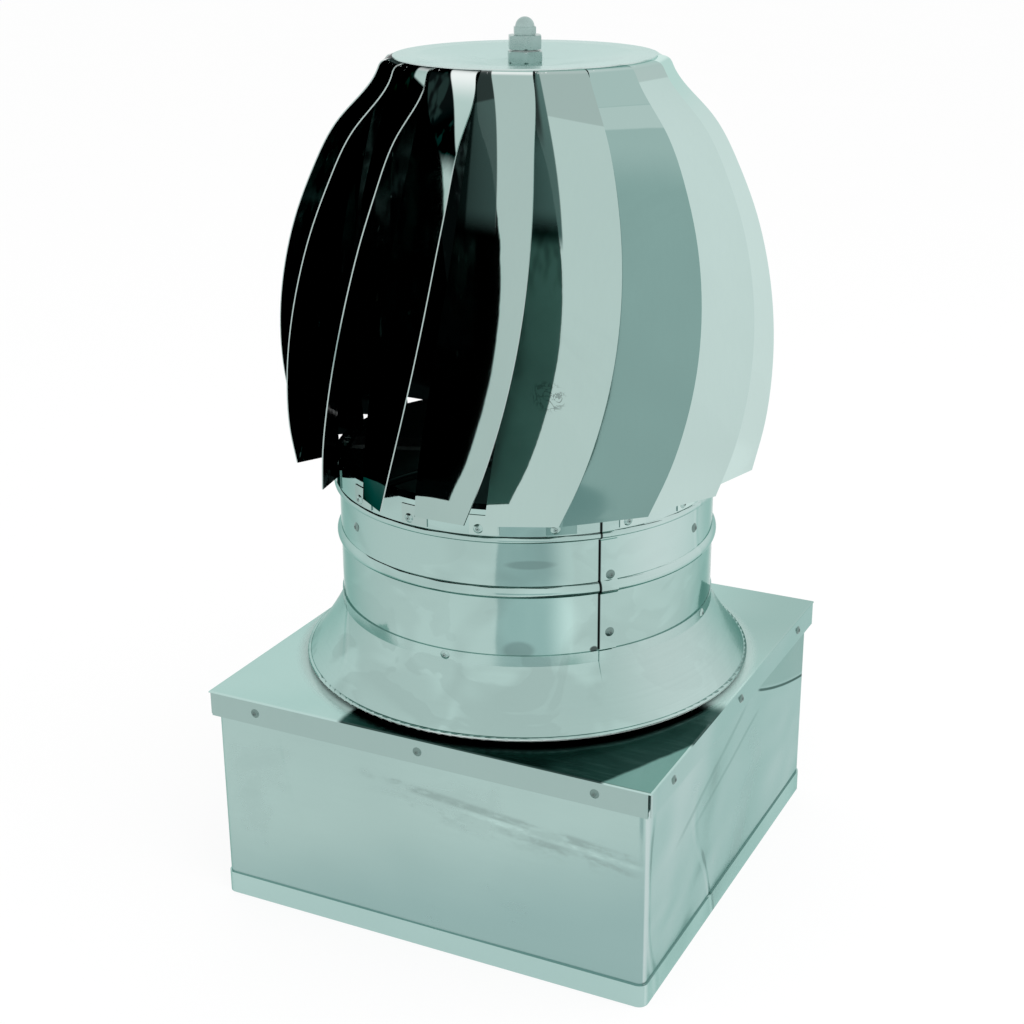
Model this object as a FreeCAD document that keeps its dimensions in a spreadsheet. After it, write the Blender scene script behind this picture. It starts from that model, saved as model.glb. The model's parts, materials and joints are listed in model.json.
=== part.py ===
import FreeCAD, Part
import math
import os
import re

import Sketcher

# Rotating chimney cowl on a square base
# Millimetres, +Z up. The origin is the middle of the open bottom of the base box.
# The fixed body is the box, lid, collar, storm cone, bracket and spindle.
# The turning body is the bottom ring, the twisted vanes, the cap and its hub.

SIZES = [
    ("box_side", 300, "outside width of the square base box"),
    ("box_height", 148, "height of the box walls"),
    ("box_sheet", 1.0, "sheet of the box walls"),
    ("box_bend", 5, "outside radius of the folded wall corners"),
    ("hem_height", 15, "height of the folded safe edge at the bottom"),
    ("wall_lap", 16, "width of the wall's own lap at the back"),
    ("fold_height", 12, "height of the walls' folded top edge"),
    ("fold_layers", 2, "layers of sheet that the fold adds outside the walls"),
    ("lid_gap", 0.3, "clearance between the lid's lips and the folded top edge"),
    ("lid_sheet", 1.2, "sheet of the lid"),
    ("lip_depth", 17, "height of the lid's turned-down lips"),
    ("lip_slit", 0.8, "open slit at each corner between two lips"),
    ("lid_round", 1.0, "outside bend radius along the lid's edges"),
    ("spigot_rise", 14, "height of the lid's turned-up spigot"),
    ("collar_radius", 122, "outside radius of the fixed collar"),
    ("collar_sheet", 0.8, "sheet of collar, cone and ring"),
    ("collar_rise", 128, "height of the collar above the lid"),
    ("bead_rise", 89.5, "height of the collar's bead above the lid"),
    ("bead_radius", 4.4, "outside radius of the swaged bead"),
    ("bead_proud", 2.6, "how far the bead stands out"),
    ("fit_gap", 0.1, "clearance between nested fixed pieces"),
    ("seam_angle", -43.2, "direction of the upright lap seam"),
    ("lap_angle", 5.5, "angle that the collar's lap covers"),
    ("cone_radius", 146.4, "radius of the storm cone before its rolled edge"),
    ("cone_lift", 3.6, "height of the cone's edge above the lid"),
    ("cone_neck_rise", 48, "height of the cone's neck top above the lid"),
    ("cone_neck", 7, "height of the cone's upright neck"),
    ("cone_flare", 170, "radius of the cone's hollow flare"),
    ("cone_roll", 1.4, "radius of the rolled edge"),
    ("cone_lap_angle", 4, "angle that the cone's lap covers"),
    ("bracket_rise", 95, "height of the bracket's arms above the lid"),
    ("bracket_arms", 3, "number of arms on the bracket"),
    ("bracket_turn", -5, "direction of the first arm"),
    ("bracket_width", 20, "width of the bracket's flat bars"),
    ("bracket_bar", 4, "thickness of the bracket's flat bars"),
    ("bracket_foot", 26, "height of the bracket's turned-up feet"),
    ("bracket_hub", 16, "outside radius of the bracket's hub"),
    ("bracket_hub_length", 38, "length of the bracket's hub"),
    ("bracket_hub_drop", 18, "how far the hub hangs below the arms"),
    ("spindle_radius", 7, "radius of the spindle"),
    ("spindle_flange", 10, "radius of the spindle's flange on the bracket"),
    ("spindle_flange_height", 5, "height of the spindle's flange"),
    ("spindle_fit", 0.05, "running clearance round the spindle"),
    ("spindle_tail", 3, "spindle left below its nut"),
    ("bevel", 0.8, "chamfer on shaft ends"),
    ("washer_radius", 14, "radius of the washer under the bracket"),
    ("washer_height", 2.5, "thickness of the washer under the bracket"),
    ("bracket_nut_across", 21, "width across flats of the nut under the bracket"),
    ("bracket_nut_height", 11, "height of the nut under the bracket"),
    ("ring_gap", 1.2, "running gap between collar and bottom ring"),
    ("ring_overlap", 6.5, "how far the bottom ring hangs over the collar"),
    ("ring_height", 21, "height of the bottom ring"),
    ("ring_flange", 9, "width of the ring's turned-in top flange"),
    ("ring_bead_radius", 2.4, "outside radius of the ring's bead"),
    ("ring_bead_proud", 1.4, "how far the ring's bead stands out"),
    ("ring_lap_angle", 4, "angle that the ring's lap covers"),
    ("spider_arms", 4, "number of arms on the spider"),
    ("spider_width", 18, "width of the spider's flat arms"),
    ("spider_bar", 2.5, "thickness of the spider's arms"),
    ("spider_hub", 13, "outside radius of the spider's hub"),
    ("spider_hub_length", 20, "length of the spider's hub"),
    ("spider_turn", 20, "direction of the spider's first arm"),
    ("bush_wall", 2.5, "wall of the bronze bush"),
    ("bush_flange", 2, "how far the bush's flange stands out past its wall"),
    ("bush_flange_height", 1.5, "thickness of the bush's flange"),
    ("rotor_rise", 268, "height from the ring's lower edge to the cap's underside"),
    ("vane_count", 17, "number of vanes"),
    ("vane_turn", -63.5, "direction that the vane angles start from"),
    ("vane_sheet", 0.7, "sheet of the vanes"),
    ("vane_tip_lift", 9.5, "rise of the proud corner over the inner corner"),
    ("vane_foot_rise", 10.5, "height of the inner corner above the ring's edge"),
    ("belly_radius", 156.5, "largest radius of the proud edges"),
    ("belly_rise", 84.5, "height of the belly above the ring's edge"),
    ("crown_height", 216, "height of the ellipse that the proud edges follow"),
    ("root_height", 326, "height of the ellipse that the inner edges follow"),
    ("root_rise", 29.5, "height of the inner edges' widest place above the ring's edge"),
    ("root_clear", 0.8, "clearance of the vanes' outer faces over the ring"),
    ("vane_lead_angle", -7.6, "angle of a vane's middle line under the cap"),
    ("vane_waist_angle", 1.75, "angle of a vane's proud edge where it hangs upright"),
    ("vane_trail_angle", 16.4, "angle by which the foot of the proud edge trails"),
    ("vane_overlap_angle", 3, "extra angle that a vane covers behind its neighbour's proud edge"),
    ("vane_taper_angle", 5.2, "angle by which a vane narrows at its foot"),
    ("vane_gap_angle", 0.3, "angle left open between the tabs under the cap"),
    ("vane_row_count", 9, "number of steps between the lines that shape a vane below its brow"),
    ("vane_row_share", 0.975, "share of a vane's height at the last of these lines"),
    ("vane_outward", 100, "upward part of the way that a vane's outer side faces"),
    ("lift_power", 4, "how soon the proud corner's rise fades with height"),
    ("trail_power", 2.3, "how soon a vane's trail fades with height"),
    ("taper_power", 5, "how soon a vane's narrowing towards the foot fades with height"),
    ("overlap_power", 1.5, "how late a vane's overlap fades with height"),
    ("crown_power", 7, "how late the proud edge swings to its place under the cap"),
    ("tab_angle", 8.5, "angle that a vane's foot tab covers"),
    ("tab_height", 12, "height of a vane's foot tab"),
    ("cap_radius", 80, "radius of the cap"),
    ("cap_sheet", 1.0, "sheet of the cap"),
    ("cap_flat", 14, "width of the cap's flat margin"),
    ("cap_dish", 5, "depth of the cap's dish"),
    ("cap_well", 24, "radius of the dish's flat middle"),
    ("tab_ring_width", 13.5, "width of the ring under the vanes' tabs"),
    ("tab_ring_sheet", 1.2, "thickness of the ring under the vanes' tabs"),
    ("tab_ring_inset", 1, "how far the ring under the tabs stays inside the cap's rim"),
    ("hub_radius", 20, "outside radius of the bearing housing"),
    ("hub_height", 22, "height of the bearing housing"),
    ("hub_web", 7, "solid top of the bearing housing"),
    ("hub_relief", 3, "depth of the relief above the inner ring"),
    ("hub_neck", 8, "radius of the housing's threaded neck"),
    ("hub_neck_height", 8, "height of the threaded neck"),
    ("neck_clear", 0.3, "clearance between journal and neck"),
    ("journal_radius", 6, "radius of the spindle inside the bearing"),
    ("stud_radius", 4, "radius of the spindle's top stud"),
    ("stud_height", 5.5, "length of the spindle's top stud"),
    ("bearing_radius", 16, "outside radius of the ball bearing"),
    ("bearing_width", 10, "width of the ball bearing"),
    ("race_wall", 2.8, "thickness of the bearing's rings"),
    ("ball_radius", 2.97, "radius of the balls"),
    ("ball_count", 7, "number of balls"),
    ("race_gap", 0.06, "clearance between balls and grooves"),
    ("press_gap", 0.02, "clearance of a pressed or clamped seat"),
    ("clip_height", 1.1, "thickness of the retaining rings"),
    ("clip_bite", 1.0, "depth of the retaining rings' grooves"),
    ("clip_proud", 1.8, "how far the retaining rings stand out"),
    ("clip_angle", 300, "angle that a retaining ring covers"),
    ("hub_nut_across", 20, "width across flats of the hub nut"),
    ("hub_nut_height", 6.6, "height of the hub nut"),
    ("finial_gap", 1.1, "running gap between hub nut and lock nut"),
    ("lock_nut_across", 19, "width across flats of the lock nut"),
    ("lock_nut_height", 8.2, "height of the lock nut"),
    ("cap_washer_radius", 6.3, "radius of the washer under the acorn nut"),
    ("cap_washer_height", 0.8, "thickness of the washer under the acorn nut"),
    ("acorn_across", 13, "width across flats of the acorn nut"),
    ("acorn_hex", 4, "height of the acorn nut's hexagon"),
    ("acorn_dome", 5.8, "radius of the acorn nut's dome"),
    ("acorn_skirt", 1, "how far the dome's straight foot reaches into the hexagon"),
    ("acorn_clear", 0.4, "space over the stud inside the acorn nut"),
    ("nut_chamfer", 0.9, "chamfer on the corners of the nuts"),
    ("rivet_radius", 3, "radius of a rivet's head"),
    ("rivet_height", 1.3, "height of a rivet's head"),
    ("lid_rivet_pitch", 118, "distance between the rivets along a lip"),
    ("lid_rivet_drop", 8.5, "distance of the lip's rivets below the lid's top"),
    ("seam_rivet_low", 59.5, "height of the collar seam's lower rivet above the lid"),
    ("seam_rivet_pitch", 37.8, "distance between the collar seam's two rivets"),
    ("seam_rivet_share", 0.6, "place of the seam's rivets across its lap"),
    ("wall_rivet_count", 4, "number of rivets down the box's lap"),
    ("cone_rivet_count", 4, "number of rivets round the cone's neck"),
    ("cone_rivet_turn", 45, "angle from the seam to the cone's first rivet"),
    ("ring_rivet_gap", 0.5, "clearance below the heads on the vanes' foot tabs"),
    ("ring_rivet_share", 0.2, "place of a ring rivet away from its tab's middle"),
]

NAMES = [name for name, number, note in SIZES]

doc = FreeCAD.newDocument("chimney_cowl")
sheet = doc.addObject("Spreadsheet::Sheet", "Sizes")
for row, (name, number, note) in enumerate(SIZES, start=1):
    sheet.set("A%d" % row, name)
    sheet.set("B%d" % row, str(number))
    sheet.set("C%d" % row, note)
    sheet.setAlias("B%d" % row, name)
doc.recompute()

# Heights that several pieces share, written from the sheet's names
LID_TOP = "(box_height + lid_sheet)"
COLLAR_TOP = "(box_height + lid_sheet + collar_rise)"
CONE_TOP = "(box_height + lid_sheet + cone_neck_rise)"
ARM_LOW = "(box_height + lid_sheet + bracket_rise)"
BRACKET_LOW = "(" + ARM_LOW + " - bracket_hub_drop)"
BRACKET_TOP = "(" + BRACKET_LOW + " + bracket_hub_length)"
RING_LOW = "(" + COLLAR_TOP + " - ring_overlap)"
RING_TOP = "(" + RING_LOW + " + ring_height)"
RING_INNER = "(collar_radius + ring_gap)"
RING_OUTER = "(collar_radius + ring_gap + collar_sheet)"
SPIDER_LOW = "(" + RING_TOP + " - collar_sheet - spider_bar)"
SPIDER_HUB_LOW = "(" + SPIDER_LOW + " + spider_bar / 2 - spider_hub_length / 2)"
CAP_UNDER = "(" + RING_LOW + " + rotor_rise)"
HUB_TOP = "(" + CAP_UNDER + " - cap_dish)"
BEARING_TOP = "(" + HUB_TOP + " - hub_web)"
BEARING_LOW = "(" + BEARING_TOP + " - bearing_width)"
BEARING_PITCH = "((journal_radius + bearing_radius) / 2)"
HUB_NUT_LOW = "(" + HUB_TOP + " + cap_sheet)"
LOCK_NUT_LOW = "(" + HUB_NUT_LOW + " + hub_nut_height + finial_gap)"
LOCK_NUT_TOP = "(" + LOCK_NUT_LOW + " + lock_nut_height)"
FOLD_OUTER = "(box_side / 2 + fold_layers * box_sheet)"
LIP_INNER = "(" + FOLD_OUTER + " + lid_gap)"
LIP_OUTER = "(" + LIP_INNER + " + lid_sheet)"


def bound(text):
    """Give every name of the sheet in an expression its sheet."""
    def with_sheet(word):
        return "Sizes." + word.group() if word.group() in NAMES else word.group()
    return re.sub(r"[a-z_]+", with_sheet, text)


def value(text):
    """Work an expression of sheet names out as a number."""
    return float(sheet.evalExpression(bound(text)))


def plane(body, role):
    return [feature for feature in body.Origin.OriginFeatures if feature.Role == role][0]


def new_body(label):
    body = doc.addObject("PartDesign::Body", label)
    body.Label = label
    return body


def bend(start, end, radius, side, major):
    """A circular side from start to end. It bulges to the right of the way (side 1) or to
    the left (side -1), and is always drawn anticlockwise."""
    chord = end - start
    half = chord.Length / 2
    rise = math.sqrt(max(radius * radius - half * half, 0))
    height = radius + rise if major else radius - rise
    across = FreeCAD.Vector(chord.y, -chord.x, 0).normalize()
    centre = (start + end) / 2 + across * (side * (height - radius))
    first, last = (start, end) if side > 0 else (end, start)
    begin = math.atan2(first.y - centre.y, first.x - centre.x)
    finish = math.atan2(last.y - centre.y, last.x - centre.x)
    if finish <= begin:
        finish += 2 * math.pi
    circle = Part.Circle(centre, FreeCAD.Vector(0, 0, 1), radius)
    return Part.ArcOfCircle(circle, begin, finish)


def pin_corner(sketch, line, corner, axis, text):
    """Tie one coordinate of a corner to the sheet."""
    if text == "0":
        axis_line = -2 if axis == "DistanceX" else -1
        sketch.addConstraint(Sketcher.Constraint("PointOnObject", line, corner, axis_line))
        return
    index = sketch.addConstraint(Sketcher.Constraint(axis, line, corner, value(text)))
    sketch.setExpression("Constraints[%d]" % index, bound(text))


def add_outline(sketch, corners):
    """Draw a closed outline. A corner is two expressions, and a third entry bends the side
    that starts there: its radius, the side that it bulges to, and whether it is the long arc."""
    spots = [FreeCAD.Vector(value(corner[0]), value(corner[1]), 0) for corner in corners]
    lines = []
    ends = []
    for index, corner in enumerate(corners):
        start = spots[index]
        end = spots[(index + 1) % len(corners)]
        if len(corner) == 2:
            lines.append(sketch.addGeometry(Part.LineSegment(start, end)))
            ends.append((1, 2))
            continue
        radius, side, major = corner[2]
        lines.append(sketch.addGeometry(bend(start, end, value(radius), side, major)))
        ends.append((1, 2) if side > 0 else (2, 1))
    for index, line in enumerate(lines):
        following = (index + 1) % len(lines)
        joint = Sketcher.Constraint("Coincident", line, ends[index][1],
                                    lines[following], ends[following][0])
        sketch.addConstraint(joint)
    for index, line in enumerate(lines):
        pin_corner(sketch, line, ends[index][0], "DistanceX", corners[index][0])
        pin_corner(sketch, line, ends[index][0], "DistanceY", corners[index][1])
        if len(corners[index]) == 3:
            radius = corners[index][2][0]
            mark = sketch.addConstraint(Sketcher.Constraint("Radius", line, value(radius)))
            sketch.setExpression("Constraints[%d]" % mark, bound(radius))


def add_circle(sketch, radius, x="0", y="0"):
    centre = FreeCAD.Vector(value(x), value(y), 0)
    line = sketch.addGeometry(Part.Circle(centre, FreeCAD.Vector(0, 0, 1), value(radius)))
    pin_corner(sketch, line, 3, "DistanceX", x)
    pin_corner(sketch, line, 3, "DistanceY", y)
    mark = sketch.addConstraint(Sketcher.Constraint("Radius", line, value(radius)))
    sketch.setExpression("Constraints[%d]" % mark, bound(radius))


def new_sketch(body, name, role, offset="0"):
    sketch = body.newObject("Sketcher::SketchObject", name)
    sketch.AttachmentSupport = [(plane(body, role), "")]
    sketch.MapMode = "FlatFace"
    if offset != "0":
        sketch.setExpression("AttachmentOffset.Base.z", bound(offset))
    return sketch


def turn(body, name, corners, angle="360", middle=False, circle=None):
    """Revolve an upright half outline, or a circle, about the Z axis."""
    sketch = new_sketch(body, name + "_profile", "XZ_Plane")
    if circle:
        add_circle(sketch, *circle)
    else:
        add_outline(sketch, corners)
    feature = body.newObject("PartDesign::Revolution", name)
    feature.Profile = sketch
    feature.ReferenceAxis = (sketch, ["V_Axis"])
    feature.Midplane = middle
    feature.setExpression("Angle", bound(angle))
    return feature


def pad(body, name, offset, length, outlines, circles=()):
    """Raise flat outlines, with round holes, from a height."""
    sketch = new_sketch(body, name + "_outline", "XY_Plane", offset)
    for corners in outlines:
        add_outline(sketch, corners)
    for circle in circles:
        add_circle(sketch, *circle)
    feature = body.newObject("PartDesign::Pad", name)
    feature.Profile = sketch
    feature.setExpression("Length", bound(length))
    return feature


def groove(body, name, corners):
    """Turn a ring or a hole away, about the Z axis."""
    doc.recompute()
    whole = body.Shape.Volume
    sketch = new_sketch(body, name + "_profile", "XZ_Plane")
    add_outline(sketch, corners)
    feature = body.newObject("PartDesign::Groove", name)
    feature.Profile = sketch
    feature.ReferenceAxis = (sketch, ["V_Axis"])
    feature.Angle = 360
    doc.recompute()
    if body.Shape.Volume >= whole:
        raise ValueError(name + " takes nothing away")
    return feature


def pattern(body, name, originals, count):
    """Repeat features round the Z axis and make the pattern the body's tip."""
    feature = body.newObject("PartDesign::PolarPattern", name)
    feature.Originals = originals
    feature.Axis = (originals[0].Profile[0], ["N_Axis"])
    feature.Angle = 360
    feature.setExpression("Occurrences", bound(count))
    body.Tip = feature
    return feature


def aim(body, angle):
    """Turn a whole piece about the Z axis, anticlockwise for a positive angle."""
    turned = "rotation(vector(0; 0; 1); " + bound(angle) + ")"
    body.setExpression("Placement", "placement(vector(0; 0; 0); " + turned + ")")


def add_shape(label, shape, angle=0):
    """A piece whose form is worked out directly from the sheet's sizes."""
    piece = doc.addObject("Part::Feature", label)
    piece.Label = label
    piece.Shape = shape
    piece.Placement = FreeCAD.Placement(FreeCAD.Vector(), FreeCAD.Rotation(angle, 0, 0))
    return piece


def square(half):
    return [("-" + half, "-" + half), (half, "-" + half), (half, half), ("-" + half, half)]


def round_square(half, radius):
    """A square with rounded corners, by its half width and corner radius."""
    straight = "(" + half + " - " + radius + ")"
    arc = (radius, 1, False)
    return [
        ("-" + straight, "-" + half), (straight, "-" + half, arc),
        (half, "-" + straight), (half, straight, arc),
        (straight, half), ("-" + straight, half, arc),
        ("-" + half, straight), ("-" + half, "-" + straight, arc),
    ]


def hexagon(across):
    corner = "(" + across + " / sqrt(3))"
    half = "(" + across + " / 2)"
    return [
        (corner, "0"), (corner + " / 2", half), ("-" + corner + " / 2", half),
        ("-" + corner, "0"), ("-" + corner + " / 2", "-" + half), (corner + " / 2", "-" + half),
    ]


def beaded_tube(outer, low, high, level, radius, proud, sheet_size="collar_sheet"):
    """The half outline of a sheet tube with one swaged bead at a level."""
    inner = "(" + outer + " - " + sheet_size + ")"
    far = "sqrt(" + proud + " * (2 * " + radius + " - " + proud + "))"
    near = "sqrt(" + proud + " * (2 * " + radius + " - 2 * " + sheet_size + " - " + proud + "))"
    inside = radius + " - " + sheet_size
    return [
        (outer, low), (outer, level + " - " + far, (radius, 1, False)),
        (outer, level + " + " + far), (outer, high), (inner, high),
        (inner, level + " + " + near, (inside, -1, False)),
        (inner, level + " - " + near), (inner, low),
    ]


def rivet_head():
    """A low domed head whose flat seat lies on the XY plane."""
    radius = value("rivet_radius")
    height = value("rivet_height")
    rim = FreeCAD.Vector(radius, 0, 0)
    crown = FreeCAD.Vector(0, 0, height)
    ball = (radius * radius + height * height) / (2 * height)
    lean = math.asin(radius / ball) / 2
    middle = FreeCAD.Vector(ball * math.sin(lean), 0, height - ball + ball * math.cos(lean))
    dome = Part.Arc(rim, middle, crown).toShape()
    seat = Part.makeLine(FreeCAD.Vector(), rim)
    axis = Part.makeLine(crown, FreeCAD.Vector())
    face = Part.Face(Part.Wire([seat, dome, axis]))
    return face.revolve(FreeCAD.Vector(), FreeCAD.Vector(0, 0, 1), 360)


def heads(label, seats):
    """A set of rivet heads, each by the middle of its seat and the way that it faces."""
    up = FreeCAD.Vector(0, 0, 1)
    made = []
    for spot, facing in seats:
        head = rivet_head()
        head.Placement = FreeCAD.Placement(spot, FreeCAD.Rotation(up, facing))
        made.append(head)
    return add_shape(label, Part.makeCompound(made))


def round_seat(radius, angle, height):
    """A rivet's place on an upright round wall."""
    way = FreeCAD.Vector(math.cos(math.radians(angle)), math.sin(math.radians(angle)), 0)
    return way * radius + FreeCAD.Vector(0, 0, height), way


def nut(label, across, bore, low, height):
    """A hexagon nut with both ends chamfered."""
    body = new_body(label)
    pad(body, label + "_hexagon", low, height, [hexagon(across)], [(bore,)])
    corner = "(" + across + " / sqrt(3))"
    rim = corner + " - nut_chamfer"
    past = corner + " + nut_chamfer"
    high = low + " + " + height
    ends = (("top", high, high + " - nut_chamfer"), ("foot", low, low + " + nut_chamfer"))
    for end, level, inside in ends:
        groove(body, label + "_" + end + "_chamfer",
               [(rim, level), (past, level), (past, inside), (corner, inside)])
    return body


# Fixed body: sheet metal of the base

def box_walls():
    """One bent sheet with a safe edge at the bottom, a lap at the back, and a top edge that
    is folded over twice, for the lid's lips to be riveted on."""
    body = new_body("box_walls")
    outer = round_square("(box_side / 2)", "box_bend")
    inner = round_square("(box_side / 2 - box_sheet)", "(box_bend - box_sheet)")
    hem = round_square("(box_side / 2 + box_sheet)", "(box_bend + box_sheet)")
    fold = round_square(FOLD_OUTER, "(box_bend + fold_layers * box_sheet)")
    pad(body, "walls", "0", "box_height", [outer, inner])
    pad(body, "safe_edge", "0", "hem_height", [hem, inner])
    pad(body, "folded_top", "(box_height - fold_height)", "fold_height", [fold, inner])
    right = "(box_side / 2 - box_bend)"
    left = "(" + right + " - wall_lap)"
    back = "(box_side / 2 + box_sheet)"
    middle = "(box_side / 2 - box_sheet / 2)"
    lap = [(left, middle), (right, middle), (right, back), (left, back)]
    pad(body, "lap", "hem_height / 2", "box_height - lip_depth - hem_height", [lap])
    return body


def wall_rivets():
    """The heads down the lap at the back of the box."""
    back = value("box_side / 2 + box_sheet")
    across = value("box_side / 2 - box_bend - wall_lap / 2")
    low = value("hem_height + 2 * rivet_radius")
    high = value("box_height - lip_depth - 4 * rivet_radius")
    count = int(value("wall_rivet_count"))
    seats = []
    for step in range(count):
        level = low + (high - low) * step / (count - 1)
        seats.append((FreeCAD.Vector(across, back, level), FreeCAD.Vector(0, 1, 0)))
    return heads("wall_rivets", seats)


def lid_tray():
    """The lid plate with its four lips, open corners and turned-up spigot."""
    body = new_body("lid_tray")
    spigot = "(collar_radius - collar_sheet - fit_gap)"
    hole = "(collar_radius - collar_sheet - fit_gap - lid_sheet)"
    plate = pad(body, "plate", "box_height", "lid_sheet", [square(LIP_OUTER)], [(hole,)])
    doc.recompute()
    top = value(LID_TOP)
    edges = []
    for index, edge in enumerate(body.Shape.Edges, start=1):
        if edge.BoundBox.ZMin > top - 1e-6 and isinstance(edge.Curve, Part.Line):
            edges.append("Edge%d" % index)
    rounded = body.newObject("PartDesign::Fillet", "folded_edges")
    rounded.Base = (plate, edges)
    rounded.setExpression("Radius", bound("lid_round"))
    end = "(" + LIP_OUTER + " - lid_sheet - lip_slit)"
    lip = [("-" + end, "-" + LIP_OUTER), (end, "-" + LIP_OUTER),
           (end, "-" + LIP_INNER), ("-" + end, "-" + LIP_INNER)]
    low = "box_height + lid_sheet - lip_depth"
    first = pad(body, "lip", low, "lip_depth - lid_round", [lip])
    doc.recompute()
    lips = pattern(body, "lips", [first], "4")
    doc.recompute()
    pad(body, "spigot", "box_height", "lid_sheet + spigot_rise", [], [(spigot,), (hole,)])
    return body


def lid_rivets():
    """Three heads along each lip."""
    out = value(LIP_OUTER)
    level = value(LID_TOP + " - lid_rivet_drop")
    pitch = value("lid_rivet_pitch")
    seats = []
    for side in range(4):
        turn_side = FreeCAD.Rotation(90 * side, 0, 0)
        for step in (-1, 0, 1):
            spot = turn_side.multVec(FreeCAD.Vector(step * pitch, -out, level))
            seats.append((spot, turn_side.multVec(FreeCAD.Vector(0, -1, 0))))
    return heads("lid_rivets", seats)


def collar():
    """The round neck, with a swaged bead and an upright lap seam."""
    body = new_body("collar")
    level = "(" + LID_TOP + " + bead_rise)"
    profile = beaded_tube("collar_radius", LID_TOP, COLLAR_TOP, level, "bead_radius", "bead_proud")
    turn(body, "tube", profile)
    lap_low = "(" + CONE_TOP + " + 0.5 * collar_sheet)"
    lap_high = "(" + RING_LOW + " - 2 * collar_sheet)"
    over = beaded_tube("(collar_radius + collar_sheet)", lap_low, lap_high, level,
                       "(bead_radius + collar_sheet)", "bead_proud", "(1.5 * collar_sheet)")
    turn(body, "lap", over, "lap_angle", True)
    aim(body, "seam_angle + lap_angle / 2")
    return body


def collar_seam_rivets():
    """Two heads along the collar's lap, below and above the bead."""
    angle = value("seam_angle + lap_angle * seam_rivet_share")
    wall = value("collar_radius + collar_sheet")
    low = value(LID_TOP + " + seam_rivet_low")
    high = low + value("seam_rivet_pitch")
    return heads("collar_seam_rivets", [round_seat(wall, angle, level) for level in (low, high)])


def cone_outline(outward, low_radius):
    """Half outline of the storm cone's sheet, moved outward for its lap."""
    neck = "(collar_radius + fit_gap + " + outward + ")"
    neck_out = "(" + neck + " + collar_sheet)"
    bend_level = "(" + CONE_TOP + " - cone_neck)"
    edge = "(" + LID_TOP + " + cone_lift + " + outward + ")"
    flare_in = "(cone_flare + " + outward + ")"
    flare_out = "(cone_flare - collar_sheet + " + outward + ")"
    return [
        (neck, CONE_TOP), (neck, bend_level, (flare_in, 1, False)),
        (low_radius, edge), (low_radius, edge + " + collar_sheet", (flare_out, -1, False)),
        (neck_out, bend_level), (neck_out, CONE_TOP),
    ]


def storm_cone():
    """The flared skirt that sheds rain off the collar's joint, with a rolled edge."""
    body = new_body("storm_cone")
    turn(body, "skirt", cone_outline("0 * fit_gap", "cone_radius"))
    centre = "(" + LID_TOP + " + cone_lift + collar_sheet / 2)"
    turn(body, "rolled_edge", [], circle=("cone_roll", "cone_radius", centre))
    turn(body, "lap", cone_outline("collar_sheet", "(cone_radius - 2 * cone_roll)"),
         "cone_lap_angle", True)
    aim(body, "seam_angle + cone_lap_angle / 2")
    return body


def cone_rivets():
    """The heads round the cone's neck."""
    wall = value("collar_radius + fit_gap + collar_sheet")
    level = value(CONE_TOP + " - cone_neck / 2")
    count = int(value("cone_rivet_count"))
    start = value("seam_angle + cone_rivet_turn")
    angles = [start + 360 * step / count for step in range(count)]
    return heads("cone_rivets", [round_seat(wall, angle, level) for angle in angles])


# Fixed body: bracket, spindle and what is clamped on it

def spindle_bracket():
    """A welded star: a hub on flat bars whose ends turn up against the collar."""
    body = new_body("spindle_bracket")
    bore = "(spindle_radius + fit_gap)"
    turn(body, "hub", [("0", BRACKET_LOW), ("bracket_hub", BRACKET_LOW),
                       ("bracket_hub", BRACKET_TOP), ("0", BRACKET_TOP)])
    wall = "(collar_radius - collar_sheet - fit_gap)"
    inside = "(" + wall + " - bracket_bar)"
    half = "(bracket_width / 2)"
    reach = "sqrt(" + wall + " * " + wall + " - " + half + " * " + half + ")"
    inner = "sqrt(" + inside + " * " + inside + " - " + half + " * " + half + ")"
    bar = [("0", "-" + half), (reach, "-" + half, (wall, 1, False)), (reach, half), ("0", half)]
    arm = pad(body, "arm", ARM_LOW, "bracket_bar", [bar])
    sole = [(inner, "-" + half), (reach, "-" + half, (wall, 1, False)),
            (reach, half), (inner, half, (inside, -1, False))]
    foot = pad(body, "foot", ARM_LOW, "bracket_foot", [sole])
    doc.recompute()
    pattern(body, "arms", [arm, foot], "bracket_arms")
    groove(body, "hub_bore", [("0", BRACKET_LOW), (bore, BRACKET_LOW), (bore, BRACKET_TOP),
                              ("0", BRACKET_TOP)])
    aim(body, "bracket_turn")
    return body


def bracket_rivets():
    """One head outside the collar for each foot of the bracket."""
    wall = value("collar_radius")
    level = value(ARM_LOW + " + bracket_foot / 2")
    count = int(value("bracket_arms"))
    angles = [value("bracket_turn") + 360 * step / count for step in range(count)]
    return heads("bracket_rivets", [round_seat(wall, angle, level) for angle in angles])


def bracket_washer():
    body = new_body("bracket_washer")
    low = "(" + BRACKET_LOW + " - washer_height)"
    bore = "(spindle_radius + fit_gap)"
    disc = [(bore, low), ("washer_radius", low),
            ("washer_radius", BRACKET_LOW), (bore, BRACKET_LOW)]
    turn(body, "washer", disc)
    return body


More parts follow.
